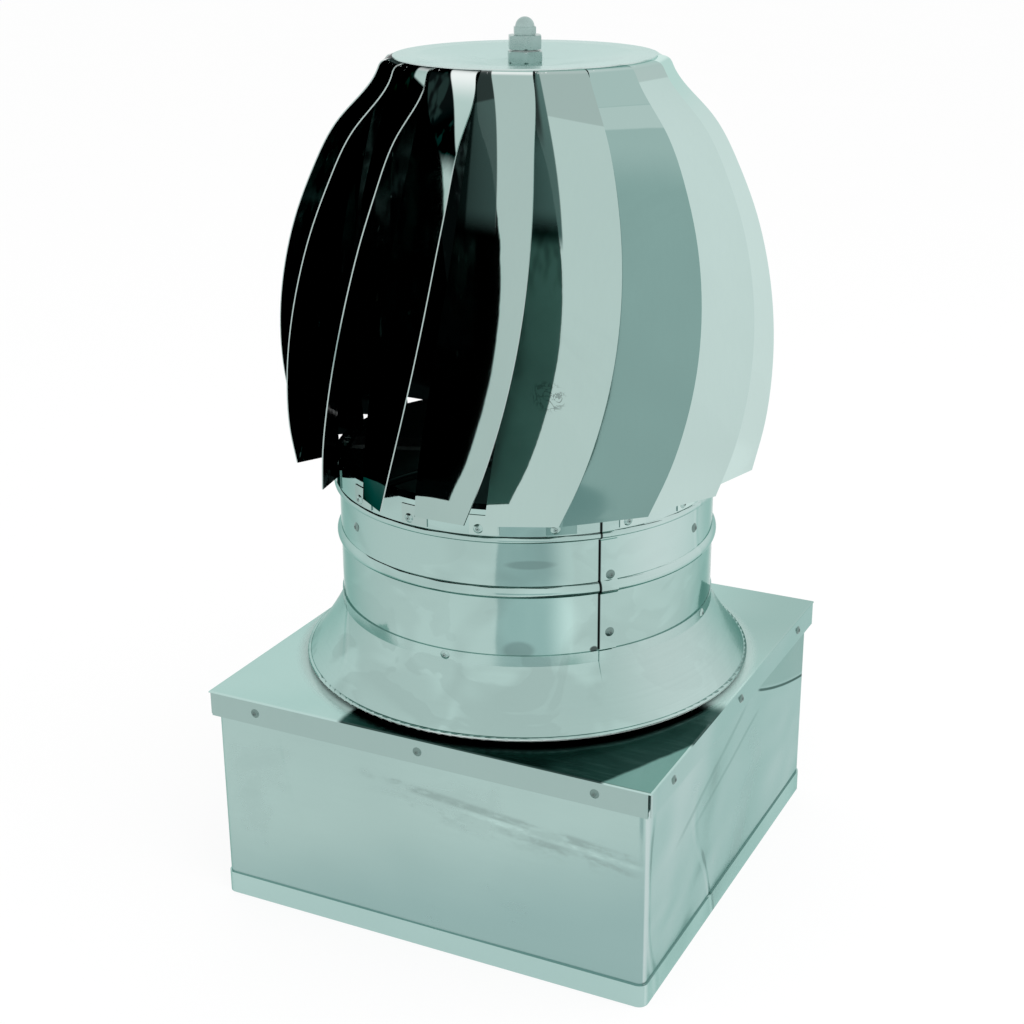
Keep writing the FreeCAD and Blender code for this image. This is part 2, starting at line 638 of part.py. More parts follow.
def spindle():
    """The turned shaft, with its flange, bearing journal, clip groove and top stud."""
    body = new_body("spindle")
    low = "(" + BRACKET_LOW + " - washer_height - bracket_nut_height - spindle_tail)"
    flange_top = "(" + BRACKET_TOP + " + spindle_flange_height)"
    groove = "(journal_radius - clip_bite)"
    groove_top = "(" + BEARING_TOP + " + clip_height)"
    stud_top = "(" + LOCK_NUT_TOP + " + stud_height)"
    turn(body, "shaft", [
        ("0", low), ("spindle_radius - bevel", low), ("spindle_radius", low + " + bevel"),
        ("spindle_radius", BRACKET_TOP), ("spindle_flange", BRACKET_TOP),
        ("spindle_flange", flange_top), ("spindle_radius", flange_top),
        ("spindle_radius", BEARING_LOW), ("journal_radius", BEARING_LOW),
        ("journal_radius", BEARING_TOP), (groove, BEARING_TOP), (groove, groove_top),
        ("journal_radius", groove_top), ("journal_radius", LOCK_NUT_TOP),
        ("stud_radius", LOCK_NUT_TOP), ("stud_radius", stud_top + " - bevel"),
        ("stud_radius - bevel", stud_top), ("0", stud_top),
    ])
    return body


def clip(label, inner, outer, low):
    """A retaining ring, open at one side."""
    body = new_body(label)
    section = [(inner, low), (outer, low), (outer, low + " + clip_height"),
               (inner, low + " + clip_height")]
    turn(body, label + "_ring", section, "clip_angle", True)
    return body


def spindle_clip():
    return clip("spindle_clip", "(journal_radius - clip_bite + press_gap)",
                "(journal_radius + clip_proud)", BEARING_TOP)


def bearing_inner_ring():
    """The inner ring, with its ball groove."""
    body = new_body("bearing_inner_ring")
    land = "(journal_radius + race_wall)"
    bore = "(journal_radius + press_gap)"
    groove = "(ball_radius + race_gap)"
    middle = "(" + BEARING_LOW + " + bearing_width / 2)"
    depth = "(" + BEARING_PITCH + " - " + land + ")"
    half = "sqrt(" + groove + " * " + groove + " - " + depth + " * " + depth + ")"
    turn(body, "inner_race", [
        (bore, BEARING_LOW), (land, BEARING_LOW),
        (land, middle + " - " + half, (groove, -1, False)), (land, middle + " + " + half),
        (land, BEARING_TOP), (bore, BEARING_TOP),
    ])
    return body


def cap_washer():
    body = new_body("cap_washer")
    top = LOCK_NUT_TOP + " + cap_washer_height"
    bore = "(stud_radius + fit_gap)"
    turn(body, "thin_washer", [(bore, LOCK_NUT_TOP), ("cap_washer_radius", LOCK_NUT_TOP),
                               ("cap_washer_radius", top), (bore, top)])
    return body


def acorn_nut():
    """The small domed nut on the very top, with a blind hole."""
    body = new_body("acorn_nut")
    low = "(" + LOCK_NUT_TOP + " + cap_washer_height)"
    shoulder = "(" + low + " + acorn_hex)"
    bore = "(stud_radius + press_gap)"
    depth = "(stud_height - cap_washer_height + acorn_clear)"
    pad(body, "hex_skirt", low, "acorn_hex", [hexagon("acorn_across")])
    skirt = "(" + shoulder + " - acorn_skirt)"
    dome = [("0", skirt), ("acorn_dome", skirt),
            ("acorn_dome", shoulder, ("acorn_dome", 1, False)),
            ("0", "(" + shoulder + " + acorn_dome)")]
    turn(body, "dome", dome)
    groove(body, "blind_hole", [("0", low), (bore, low), (bore, low + " + " + depth),
                                ("0", low + " + " + depth)])
    return body


# Turning body: ring, spider and vanes

def bottom_ring():
    """The ring that hangs over the collar: a bead at its lower edge, a turned-in flange
    on top and a lap of its own."""
    body = new_body("bottom_ring")
    level = "(" + RING_LOW + " + ring_bead_radius)"
    wall = beaded_tube(RING_OUTER, RING_LOW, RING_TOP, level, "ring_bead_radius",
                       "ring_bead_proud")
    turn(body, "band", wall)
    inner = "(" + RING_INNER + " - ring_flange)"
    under = "(" + RING_TOP + " - collar_sheet)"
    middle = "(" + RING_INNER + " + collar_sheet / 2)"
    turn(body, "flange", [(inner, under), (middle, under), (middle, RING_TOP), (inner, RING_TOP)])
    lap_low = "(" + RING_LOW + " + 2 * ring_bead_radius)"
    middle_wall = "(" + RING_OUTER + " - collar_sheet / 2)"
    outside = "(" + RING_OUTER + " + collar_sheet)"
    turn(body, "lap", [(middle_wall, lap_low), (outside, lap_low), (outside, RING_TOP),
                       (middle_wall, RING_TOP)], "ring_lap_angle", True)
    aim(body, "seam_angle + ring_lap_angle / 2")
    return body


def spider():
    """The welded cross that guides the ring on the spindle."""
    body = new_body("spider")
    bore = "(spindle_radius + spindle_fit + bush_wall + press_gap)"
    top = "(" + SPIDER_HUB_LOW + " + spider_hub_length)"
    turn(body, "guide", [("0", SPIDER_HUB_LOW), ("spider_hub", SPIDER_HUB_LOW),
                         ("spider_hub", top), ("0", top)])
    reach = "(" + RING_INNER + " - ring_gap)"
    half = "(spider_width / 2)"
    bar = [("0", "-" + half), (reach, "-" + half), (reach, half), ("0", half)]
    arm = pad(body, "spoke", SPIDER_LOW, "spider_bar", [bar])
    doc.recompute()
    pattern(body, "spokes", [arm], "spider_arms")
    groove(body, "guide_bore", [("0", SPIDER_HUB_LOW), (bore, SPIDER_HUB_LOW), (bore, top),
                                ("0", top)])
    aim(body, "spider_turn")
    return body


def spider_rivets():
    """Two heads on the ring's flange over the end of each spoke."""
    level = value(RING_TOP)
    radius = value(RING_INNER + " - ring_flange / 2")
    count = int(value("spider_arms"))
    aside = math.degrees(value("spider_width / 4") / radius)
    seats = []
    for step in range(count):
        middle = value("spider_turn") + 360 * step / count
        for angle in (middle - aside, middle + aside):
            spot, way = round_seat(radius, angle, level)
            seats.append((spot, FreeCAD.Vector(0, 0, 1)))
    return heads("spider_rivets", seats)


def spider_bush():
    """The flanged bronze bush that runs on the spindle."""
    body = new_body("spider_bush")
    bore = "(spindle_radius + spindle_fit)"
    outer = "(" + bore + " + bush_wall)"
    rim = "(" + outer + " + bush_flange)"
    top = "(" + SPIDER_HUB_LOW + " + spider_hub_length)"
    cover = "(" + top + " + bush_flange_height)"
    turn(body, "sleeve", [(bore, SPIDER_HUB_LOW), (outer, SPIDER_HUB_LOW), (outer, top),
                          (rim, top), (rim, cover), (bore, cover)])
    return body


def polar(radius, angle, height):
    turned = math.radians(angle)
    return FreeCAD.Vector(radius * math.cos(turned), radius * math.sin(turned), height)


def vane_edges(share):
    """The proud and the inner edge of a vane at a share of its height. Both edges follow
    ellipses. The proud edge trails towards the foot and swings to its place under the cap.
    The inner edge lies behind the neighbour's proud edge, so that the head looks closed."""
    foot = value(RING_LOW + " + vane_foot_rise")
    height = foot + share * (value(CAP_UNDER) - foot)
    low = 1 - share
    lift = value("vane_tip_lift") * low ** value("lift_power")
    belly = (height + lift - value(RING_LOW + " + belly_rise")) / value("crown_height")
    root = (height - value(RING_LOW + " + root_rise")) / value("root_height")
    proud = value("belly_radius") * math.sqrt(1 - belly * belly)
    inner = value(RING_OUTER + " + root_clear") * math.sqrt(1 - root * root)
    brow, left, right = vane_brow()
    waist = value("vane_waist_angle")
    angle = waist - value("vane_trail_angle") * low ** value("trail_power")
    angle += (right - waist) * share ** value("crown_power")
    cover = right - left - value("vane_taper_angle") * low ** value("taper_power")
    cover += value("vane_overlap_angle") * (1 - share ** value("overlap_power"))
    return polar(proud, angle, height + lift), polar(inner, angle - cover, height)


def vane_brow():
    """Where a vane bends over the cap's rim: the radius, and the angles of both its sides."""
    half = (360 / value("vane_count") - value("vane_gap_angle")) / 2
    middle = value("vane_lead_angle")
    return value("cap_radius + vane_sheet"), middle - half, middle + half


def edge_curve(spots):
    """A smooth edge through its points. It ends level, pointing in under the cap."""
    curve = Part.BSplineCurve()
    start = (spots[1] - spots[0]).normalize()
    inward = polar(-1, value("vane_lead_angle"), 0)
    curve.interpolate(Points=spots, InitialTangent=start, FinalTangent=inward)
    return curve


def vane_side(rows, which):
    """One long side of a vane: its points on the outer and on the inner face of the sheet."""
    outer = [row[which] for row in rows]
    curve = edge_curve(outer)
    inner = []
    for row, spot in zip(rows[:-1], outer):
        along = FreeCAD.Vector(*curve.tangent(curve.parameter(spot))[0])
        facing = (row[1] - row[0]).cross(along).normalize()
        if facing.dot(FreeCAD.Vector(spot.x, spot.y, value("vane_outward"))) < 0:
            facing = facing * -1
        inner.append(spot - facing * value("vane_sheet"))
    inner.append(outer[-1] - FreeCAD.Vector(0, 0, value("vane_sheet")))
    return outer, inner


def vane():
    """One twisted strip of sheet: it lies flat under the cap, bends over the rim, and turns
    edge-on as it comes down, so that its proud edge catches the wind."""
    steps = int(value("vane_row_count"))
    last = value("vane_row_share")
    rows = [vane_edges(last * step / steps) for step in range(steps + 1)]
    brow, left, right = vane_brow()
    top = value(CAP_UNDER)
    rows.append((polar(brow, right, top), polar(brow, left, top)))
    proud, proud_back = vane_side(rows, 0)
    inner, inner_back = vane_side(rows, 1)
    sides = [edge_curve(spots).toShape() for spots in (proud, inner, inner_back, proud_back)]
    faces = [Part.makeRuledSurface(sides[index - 1], sides[index]) for index in range(4)]
    for end in (0, -1):
        faces.append(Part.makeRuledSurface(Part.makeLine(proud[end], inner[end]),
                                           Part.makeLine(proud_back[end], inner_back[end])))
    shell = Part.makeShell(faces)
    shell.sewShape()
    blade = Part.makeSolid(shell)
    if blade.Volume < 0:
        blade.reverse()
    return blade.fuse([vane_tab(), vane_foot()]).removeSplitter()


def vane_tab():
    """The flat end that the cap and the ring under it hold."""
    thick = value("vane_sheet")
    top = value(CAP_UNDER)
    brow, left, right = vane_brow()
    start = value("cap_radius - tab_ring_width")
    corners = [polar(start, left, top - thick), polar(brow, left, top - thick),
               polar(brow, right, top - thick), polar(start, right, top - thick)]
    outline = Part.makePolygon(corners + corners[:1])
    return Part.Face(outline).extrude(FreeCAD.Vector(0, 0, thick))


def vane_foot():
    """The curved tab that is riveted on the ring, from the ring's wall outward."""
    wall = value(RING_OUTER)
    thick = value("vane_sheet")
    covered = value("tab_angle")
    middle = foot_angle()
    low = value(RING_LOW + " + 2 * ring_bead_radius") + thick
    section = Part.makePolygon([
        FreeCAD.Vector(wall, 0, low), FreeCAD.Vector(wall + thick, 0, low),
        FreeCAD.Vector(wall + thick, 0, low + value("tab_height")),
        FreeCAD.Vector(wall, 0, low + value("tab_height")), FreeCAD.Vector(wall, 0, low)])
    tab = Part.Face(section).revolve(FreeCAD.Vector(), FreeCAD.Vector(0, 0, 1), covered)
    tab.rotate(FreeCAD.Vector(), FreeCAD.Vector(0, 0, 1), middle - covered / 2)
    return tab


def foot_angle():
    """Direction of the middle of a vane's foot tab."""
    corner = vane_edges(0)[1]
    return math.degrees(math.atan2(corner.y, corner.x))


def vanes():
    """All the vanes, each a piece of its own."""
    count = int(value("vane_count"))
    shape = vane()
    made = []
    for index in range(count):
        angle = value("vane_turn") + 360 * index / count
        made.append(add_shape("vane_%02d" % (index + 1), shape, angle))
    return made


def ring_rivets():
    """One head on each vane's foot tab."""
    count = int(value("vane_count"))
    wall = value(RING_OUTER + " + vane_sheet")
    low = value(RING_LOW + " + 2 * ring_bead_radius + vane_sheet")
    level = low + value("rivet_radius + ring_rivet_gap")
    start = foot_angle() + value("vane_turn - tab_angle * ring_rivet_share")
    seats = [round_seat(wall, start + 360 * step / count, level) for step in range(count)]
    return heads("ring_rivets", seats)


# Turning body: cap and hub

def cap_disc():
    """The dished cap: a flat margin on the vanes' tabs and a flat middle on the housing."""
    body = new_body("cap_disc")
    margin = "(cap_radius - cap_flat)"
    hole = "(hub_neck + fit_gap)"
    top = "(" + CAP_UNDER + " + cap_sheet)"
    floor = "(" + HUB_TOP + " + cap_sheet)"
    turn(body, "dish", [
        (hole, HUB_TOP), ("cap_well", HUB_TOP), (margin, CAP_UNDER), ("cap_radius", CAP_UNDER),
        ("cap_radius", top), (margin, top), ("cap_well", floor), (hole, floor),
    ])
    return body


def tab_ring():
    """The flat ring that clamps the vanes' tabs against the cap."""
    body = new_body("tab_ring")
    top = "(" + CAP_UNDER + " - vane_sheet)"
    low = "(" + top + " - tab_ring_sheet)"
    inner = "(cap_radius - tab_ring_width)"
    outer = "(cap_radius - tab_ring_inset)"
    turn(body, "clamp", [(inner, low), (outer, low), (outer, top), (inner, top)])
    return body


def bearing_housing():
    """The turned cup that holds the ball bearing, with a relief, a clip groove and a neck."""
    body = new_body("bearing_housing")
    low = "(" + HUB_TOP + " - hub_height)"
    bore = "(bearing_radius + press_gap)"
    groove = "(bearing_radius + clip_bite)"
    groove_low = "(" + BEARING_LOW + " - clip_height)"
    relief = "(bearing_radius - race_wall - clip_bite)"
    relief_top = "(" + BEARING_TOP + " + hub_relief)"
    throat = "(journal_radius + neck_clear)"
    neck_top = "(" + HUB_TOP + " + hub_neck_height)"
    turn(body, "cup", [
        (bore, low), ("hub_radius", low), ("hub_radius", HUB_TOP), ("hub_neck", HUB_TOP),
        ("hub_neck", neck_top), (throat, neck_top), (throat, relief_top), (relief, relief_top),
        (relief, BEARING_TOP), (bore, BEARING_TOP), (bore, BEARING_LOW), (groove, BEARING_LOW),
        (groove, groove_low), (bore, groove_low),
    ])
    return body


def housing_clip():
    return clip("housing_clip", "(bearing_radius - clip_proud)",
                "(bearing_radius + clip_bite - press_gap)", "(" + BEARING_LOW + " - clip_height)")


def bearing_outer_ring():
    """The outer ring, with its ball groove."""
    body = new_body("bearing_outer_ring")
    land = "(bearing_radius - race_wall)"
    groove = "(ball_radius + race_gap)"
    middle = "(" + BEARING_LOW + " + bearing_width / 2)"
    depth = "(" + land + " - " + BEARING_PITCH + ")"
    half = "sqrt(" + groove + " * " + groove + " - " + depth + " * " + depth + ")"
    turn(body, "outer_race", [
        ("bearing_radius", BEARING_LOW), ("bearing_radius", BEARING_TOP), (land, BEARING_TOP),
        (land, middle + " + " + half, (groove, -1, False)), (land, middle + " - " + half),
        (land, BEARING_LOW),
    ])
    return body


def bearing_balls():
    count = int(value("ball_count"))
    level = value(BEARING_LOW + " + bearing_width / 2")
    made = []
    for step in range(count):
        spot = polar(value(BEARING_PITCH), 360 * step / count, level)
        made.append(Part.makeSphere(value("ball_radius"), spot))
    return add_shape("bearing_balls", Part.makeCompound(made))


pieces = [
    box_walls(), wall_rivets(), lid_tray(), lid_rivets(), collar(), collar_seam_rivets(),
    storm_cone(), cone_rivets(), spindle_bracket(), bracket_rivets(), bracket_washer(),
    nut("bracket_nut", "bracket_nut_across", "(spindle_radius + press_gap)",
        "(" + BRACKET_LOW + " - washer_height - bracket_nut_height)", "bracket_nut_height"),
    spindle(), spindle_clip(), bearing_inner_ring(),
    nut("lock_nut", "lock_nut_across", "(journal_radius + press_gap)", LOCK_NUT_LOW,
        "lock_nut_height"),
    cap_washer(), acorn_nut(),
    bottom_ring(), ring_rivets(), spider(), spider_rivets(), spider_bush(),
]
pieces += vanes()
pieces += [
    tab_ring(), cap_disc(), bearing_housing(), housing_clip(), bearing_outer_ring(),
    bearing_balls(),
    nut("hub_nut", "hub_nut_across", "(hub_neck + press_gap)", HUB_NUT_LOW, "hub_nut_height"),
]

doc.recompute()
for thing in doc.Objects:
    if "Invalid" in thing.State or "Error" in thing.State:
        raise ValueError(thing.Label + " did not build")
for piece in pieces:
    if piece.Shape.isNull() or not piece.Shape.isValid():
        raise ValueError(piece.Label + " has no sound shape")

os.makedirs("parts", exist_ok=True)
for piece in pieces:
    piece.Shape.exportStep("parts/" + piece.Label + ".step")
    print(piece.Label, len(piece.Shape.Solids), "solids", round(piece.Shape.Volume, 1), "mm3")
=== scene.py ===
"""Looks of a rotating chimney cowl: sheet-metal finishes, rivet cores and a plain studio."""

import json
import math

import bmesh
import bpy
from bpy.props import FloatProperty, FloatVectorProperty, PointerProperty
from mathutils import Matrix, Vector

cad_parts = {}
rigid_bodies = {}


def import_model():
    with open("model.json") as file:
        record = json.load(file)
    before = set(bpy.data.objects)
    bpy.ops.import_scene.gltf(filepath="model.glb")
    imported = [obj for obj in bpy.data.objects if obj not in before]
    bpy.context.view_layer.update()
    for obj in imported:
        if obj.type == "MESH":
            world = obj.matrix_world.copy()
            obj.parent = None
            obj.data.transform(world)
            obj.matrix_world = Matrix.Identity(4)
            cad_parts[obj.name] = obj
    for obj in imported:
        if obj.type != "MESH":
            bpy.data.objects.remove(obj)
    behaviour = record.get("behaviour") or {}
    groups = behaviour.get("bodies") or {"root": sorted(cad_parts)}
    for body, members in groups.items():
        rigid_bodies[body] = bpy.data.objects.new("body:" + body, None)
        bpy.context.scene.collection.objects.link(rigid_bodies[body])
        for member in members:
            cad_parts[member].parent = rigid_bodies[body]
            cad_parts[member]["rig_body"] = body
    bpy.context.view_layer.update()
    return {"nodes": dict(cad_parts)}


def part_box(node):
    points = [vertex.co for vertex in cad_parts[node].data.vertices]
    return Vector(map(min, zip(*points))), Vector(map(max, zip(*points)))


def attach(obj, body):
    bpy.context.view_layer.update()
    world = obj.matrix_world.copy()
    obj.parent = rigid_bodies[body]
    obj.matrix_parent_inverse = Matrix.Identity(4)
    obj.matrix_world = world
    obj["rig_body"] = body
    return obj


bl_info = {
    "name": "Chimney cowl looks",
    "version": (1, 0, 0),
    "blender": (4, 5, 0),
    "location": "3D View > Sidebar > Cowl",
    "description": "Finishes and small details of a rotating chimney cowl",
    "category": "Object",
}

for stray in list(bpy.data.objects):
    bpy.data.objects.remove(stray)

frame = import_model()
NODES = frame["nodes"]
VANES = sorted(name for name in NODES if name.startswith("vane_"))
COLLAR_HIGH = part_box("collar")[1]
LID_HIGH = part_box("lid_tray")[1]
CAP_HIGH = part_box("cap_disc")[1]

# Places on the metal, in metres from the spindle and the floor, and directions in radians
WALL_FACE = 0.1484              # the walls' outer faces lie just beyond
LIP_FACE = 0.1529               # the lips' outer faces lie just beyond
FACE_SOFT = 0.0004              # half the width of a border that should look sharp
BOX_CORNER = 0.152
HEM_TOP = 0.0152
LID_TOP = LID_HIGH.z - 0.0140   # the lid's flat, below the spigot that is turned up from it
SKIRT_REACH = 0.149             # the skirt hides the lid within this radius
SKIRT_RIM_TOP = 0.1534
SEAM = math.radians(-43.2)
LEAF_FOOT = 0.456               # the painted dark reflections (leaves) beside the first vanes begin here and curl over the height
LEAF_HEIGHT = 0.078
CROWN_CORNER = 0.5365           # the last vane's slanting line of painted dark reflection starts at this height
BROW = CAP_HIGH.z - 0.0022      # painted highlight on the vanes' bend under the cap, above this height
HEAD_SPAN = 0.0085              # no two points of one rivet head are further apart
HEAD_FLAT = 0.6                 # a head is less high than this share of its width
ROUND_REACH = 0.13              # the collar and the ring lie within, the walls and lips beyond


# Shader sums

class Value:
    """A shader socket that can stand in a sum. Each sum on it adds the Math node it needs."""

    def __init__(self, finish, socket):
        self.finish = finish
        self.socket = socket

    def sum(self, operation, first, second):
        return self.finish.node("ShaderNodeMath", {"operation": operation}, {0: first, 1: second})

    def __add__(self, other):
        return self.sum("ADD", self, other)

    __radd__ = __add__

    def __sub__(self, other):
        return self.sum("SUBTRACT", self, other)

    def __rsub__(self, other):
        return self.sum("SUBTRACT", other, self)

    def __mul__(self, other):
        return self.sum("MULTIPLY", self, other)

    __rmul__ = __mul__

    def __truediv__(self, other):
        return self.sum("DIVIDE", self, other)

    def __pow__(self, other):
        return self.sum("POWER", self, other)


class Finish:
    """A metal finish made of nodes."""

    def __init__(self, name):
        self.material = bpy.data.materials.new(name)
        self.material.use_nodes = True
        self.nodes = self.material.node_tree.nodes
        self.links = self.material.node_tree.links
        self.nodes.clear()
        self.shader = self.nodes.new("ShaderNodeBsdfPrincipled")
        self.output = self.nodes.new("ShaderNodeOutputMaterial")
        self.links.new(self.shader.outputs["BSDF"], self.output.inputs["Surface"])
        self.place = self.node("ShaderNodeTexCoord", {}, {}, "Object")
        parts = self.node("ShaderNodeSeparateXYZ", {}, {0: self.place})
        self.x, self.y, self.z = (Value(self, socket) for socket in parts.socket.node.outputs)

    def node(self, kind, settings, sockets, output=0):
        """Any node: its settings first, then the values or links of its sockets."""
        made = self.nodes.new(kind)
        for name, setting in settings.items():
            setattr(made, name, setting)
        for name, given in sockets.items():
            if isinstance(given, Value):
                self.links.new(given.socket, made.inputs[name])
            else:
                made.inputs[name].default_value = given
        return Value(self, made.outputs[output])

    def drive(self, name, value):
        """Sets or links one socket of the surface shader."""
        if isinstance(value, Value):
            self.links.new(value.socket, self.shader.inputs[name])
        else:
            self.shader.inputs[name].default_value = value

    def stretched(self, scale, turn=(0, 0, 0)):
        """The place on the metal, scaled and turned, for a pattern that has a direction."""
        return self.node("ShaderNodeMapping", {}, {"Vector": self.place, "Scale": scale, "Rotation": turn})

    def noise(self, place, scale, detail=3.0, rough=0.55, distortion=0.0):
        return self.node("ShaderNodeTexNoise", {},
                         {"Vector": place, "Scale": scale, "Detail": detail, "Roughness": rough,
                          "Distortion": distortion})

    def wander(self, scale, reach, detail=3.0):
        """A small uneven length, above and below 0, that makes a border ragged."""
        return (self.noise(self.place, scale, detail) - 0.5) * reach

    def ramp(self, value, low, high):
        """0 below low and 1 above high, with a smooth step between."""
        return self.node("ShaderNodeMapRange", {"interpolation_type": "SMOOTHSTEP", "clamp": True},
                         {"Value": value, "From Min": low, "From Max": high})

    def band(self, value, start, full, fade, end):
        """1 between full and fade, and 0 before start and after end."""
        return self.ramp(value, start, full) * (1 - self.ramp(value, fade, end))

    def blend(self, share, first, second):
        """A colour between two others."""
        return self.node("ShaderNodeMix", {"data_type": "RGBA", "clamp_factor": True},
                         {0: share, 6: colour_of(first), 7: colour_of(second)}, 2)

    def paint(self, share, colour):
        """Lays a colour over the one that the finish has so far."""
        self.colour = self.blend(share, self.colour, colour)

    def bump(self, height, distance, strength=1.0, under=None):
        sockets = {"Height": height, "Distance": distance, "Strength": strength}
        if under:
            sockets["Normal"] = under
        return self.node("ShaderNodeBump", {}, sockets)

    def size_of(self, value):
        """A value without its sign."""
        return self.node("ShaderNodeMath", {"operation": "ABSOLUTE"}, {0: value})

    def crease(self, place, scale, width):
        """Thin wandering lines, 1 on the line: the level lines of a broad noise."""
        return 1 - self.ramp(self.size_of(self.noise(place, scale, 1.0, 0.4, 0.4) - 0.5), 0.0, width)

    def stroke(self, along, across, start, end, rise, width):
        """A straight soft line on a wall: 1 on the line that leaves start and climbs by rise."""
        level = across - start[1] - (along - start[0]) * rise
        reach = self.band(along, start[0], start[0] + 0.03, end - 0.02, end)
        return (1 - self.ramp(self.size_of(level), width * 0.3, width)) * reach

    def spot(self, turn, height, half_turn, half_height):
        """A soft oval on a round wall, 1 inside it. Turns are in degrees."""
        across = (self.angle() - math.radians(turn)) / math.radians(half_turn)
        over = (self.z - height) / half_height
        return 1 - self.ramp((across * across + over * over) ** 0.5, 0.6, 1.0)

    def radius(self):
        return (self.x * self.x + self.y * self.y) ** 0.5

    def angle(self):
        return self.node("ShaderNodeMath", {"operation": "ARCTAN2"}, {0: self.y, 1: self.x})


def colour_of(value):
    """A colour with its alpha, or a link as it is."""
    return value if isinstance(value, Value) or len(value) == 4 else (*value, 1.0)


def shade(colour, *shares):
    """A darker or paler colour, by one share or by one each for red, green and blue."""
    if len(shares) == 1:
        shares = shares * 3
    return tuple(part * share for part, share in zip(colour, shares))


# What a user would change

class CowlFinishes(bpy.types.PropertyGroup):
    box_colour: FloatVectorProperty(
        name="Box sheet", description="Colour of the box and its lid", subtype="COLOR",
        default=(0.40, 0.55, 0.52), min=0, max=1)
    collar_colour: FloatVectorProperty(
        name="Collar sheet", description="Colour of the collar, skirt and ring", subtype="COLOR",
        default=(0.38, 0.53, 0.50), min=0, max=1)
    vane_colour: FloatVectorProperty(
        name="Vanes outside", description="Colour of the vanes' outer faces", subtype="COLOR",
        default=(0.46, 0.61, 0.575), min=0, max=1)
    # Painted reflection: this vane's darker tone stands in for what it mirrors; its finish is also rougher.
    dull_dark_reflection_colour: FloatVectorProperty(
        name="Dull vane outside", description="Colour of the one vane that is duller than the others",
        subtype="COLOR", default=(0.212, 0.350, 0.326), min=0, max=1)
    # Painted shade: the vanes' inner faces are dark; the next vane mirrors this colour.
    shade_colour: FloatVectorProperty(
        name="Vanes inside", description="Colour of the vanes' inner faces", subtype="COLOR",
        default=(0.16, 0.27, 0.245), min=0, max=1)
    # Painted shade: near black for the inner faces on the darker side.
    inner_dark_shade_colour: FloatVectorProperty(
        name="Sooted vanes inside", description="Colour of the inner faces on the sooted side",
        subtype="COLOR", default=(0.0025, 0.0040, 0.0042), min=0, max=1)
    cap_colour: FloatVectorProperty(
        name="Cap", description="Colour of the cap", subtype="COLOR",
        default=(0.61, 0.72, 0.70), min=0, max=1)
    fastener_colour: FloatVectorProperty(
        name="Nuts", description="Colour of the nuts", subtype="COLOR",
        default=(0.38, 0.50, 0.48), min=0, max=1)
    rivet_colour: FloatVectorProperty(
        name="Rivets", description="Colour of the rivet heads on the box, the lid and the collar",
        subtype="COLOR", default=(0.19, 0.28, 0.26), min=0, max=1)
    # Painted shade: dark for the unlit inner sides of the collar and the ring.
    inside_shade_colour: FloatVectorProperty(
        name="Inside", description="Colour of the sooted inner sides of the collar and the ring",
        subtype="COLOR", default=(0.03, 0.05, 0.047), min=0, max=1)


class CowlSizes(bpy.types.PropertyGroup):
    core_radius: FloatProperty(
        name="Rivet core", description="Radius of the pulled core in a rivet's head",
        default=0.0011, min=0.0005, max=0.002, unit="LENGTH", precision=5)
    core_depth: FloatProperty(
        name="Core depth", description="Depth of the dimple round a rivet's core",
        default=0.0003, min=0.0001, max=0.0008, unit="LENGTH", precision=5)


class CowlStage(bpy.types.PropertyGroup):
    focal_length: FloatProperty(
        name="Focal length", description="Focal length of the camera", default=62.57, min=20, max=200,
        unit="CAMERA")
    azimuth: FloatProperty(
        name="Azimuth", description="Direction of the camera round the cowl",
        default=math.radians(26.5), subtype="ANGLE", unit="ROTATION")
    elevation: FloatProperty(
        name="Elevation", description="Height angle of the camera",
        default=math.radians(20.6), subtype="ANGLE", unit="ROTATION")
    roll: FloatProperty(
        name="Roll", description="Tilt of the camera about its line of sight",
        default=math.radians(-0.4), subtype="ANGLE", unit="ROTATION")
    offset: FloatVectorProperty(
        name="Offset", description="The camera's offset from the origin, in its own axes",
        default=(-0.0113, 0.2289, 1.2617), subtype="TRANSLATION", unit="LENGTH")
    card_left: FloatProperty(
        name="Card's left edge", description="Angle of the grey card's left edge from the camera",
        default=math.radians(-17), subtype="ANGLE", unit="ROTATION")
    card_right: FloatProperty(
        name="Card's right edge", description="Angle of the grey card's right edge from the camera",
        default=math.radians(24), subtype="ANGLE", unit="ROTATION")
    floor_size: FloatProperty(
        name="Floor", description="Half the width of the floor", default=12.0, min=1, unit="LENGTH")
    lamp_power: FloatProperty(
        name="Lamp power", description="Power of the large soft lamp", default=16.0, min=0)


# Finishes

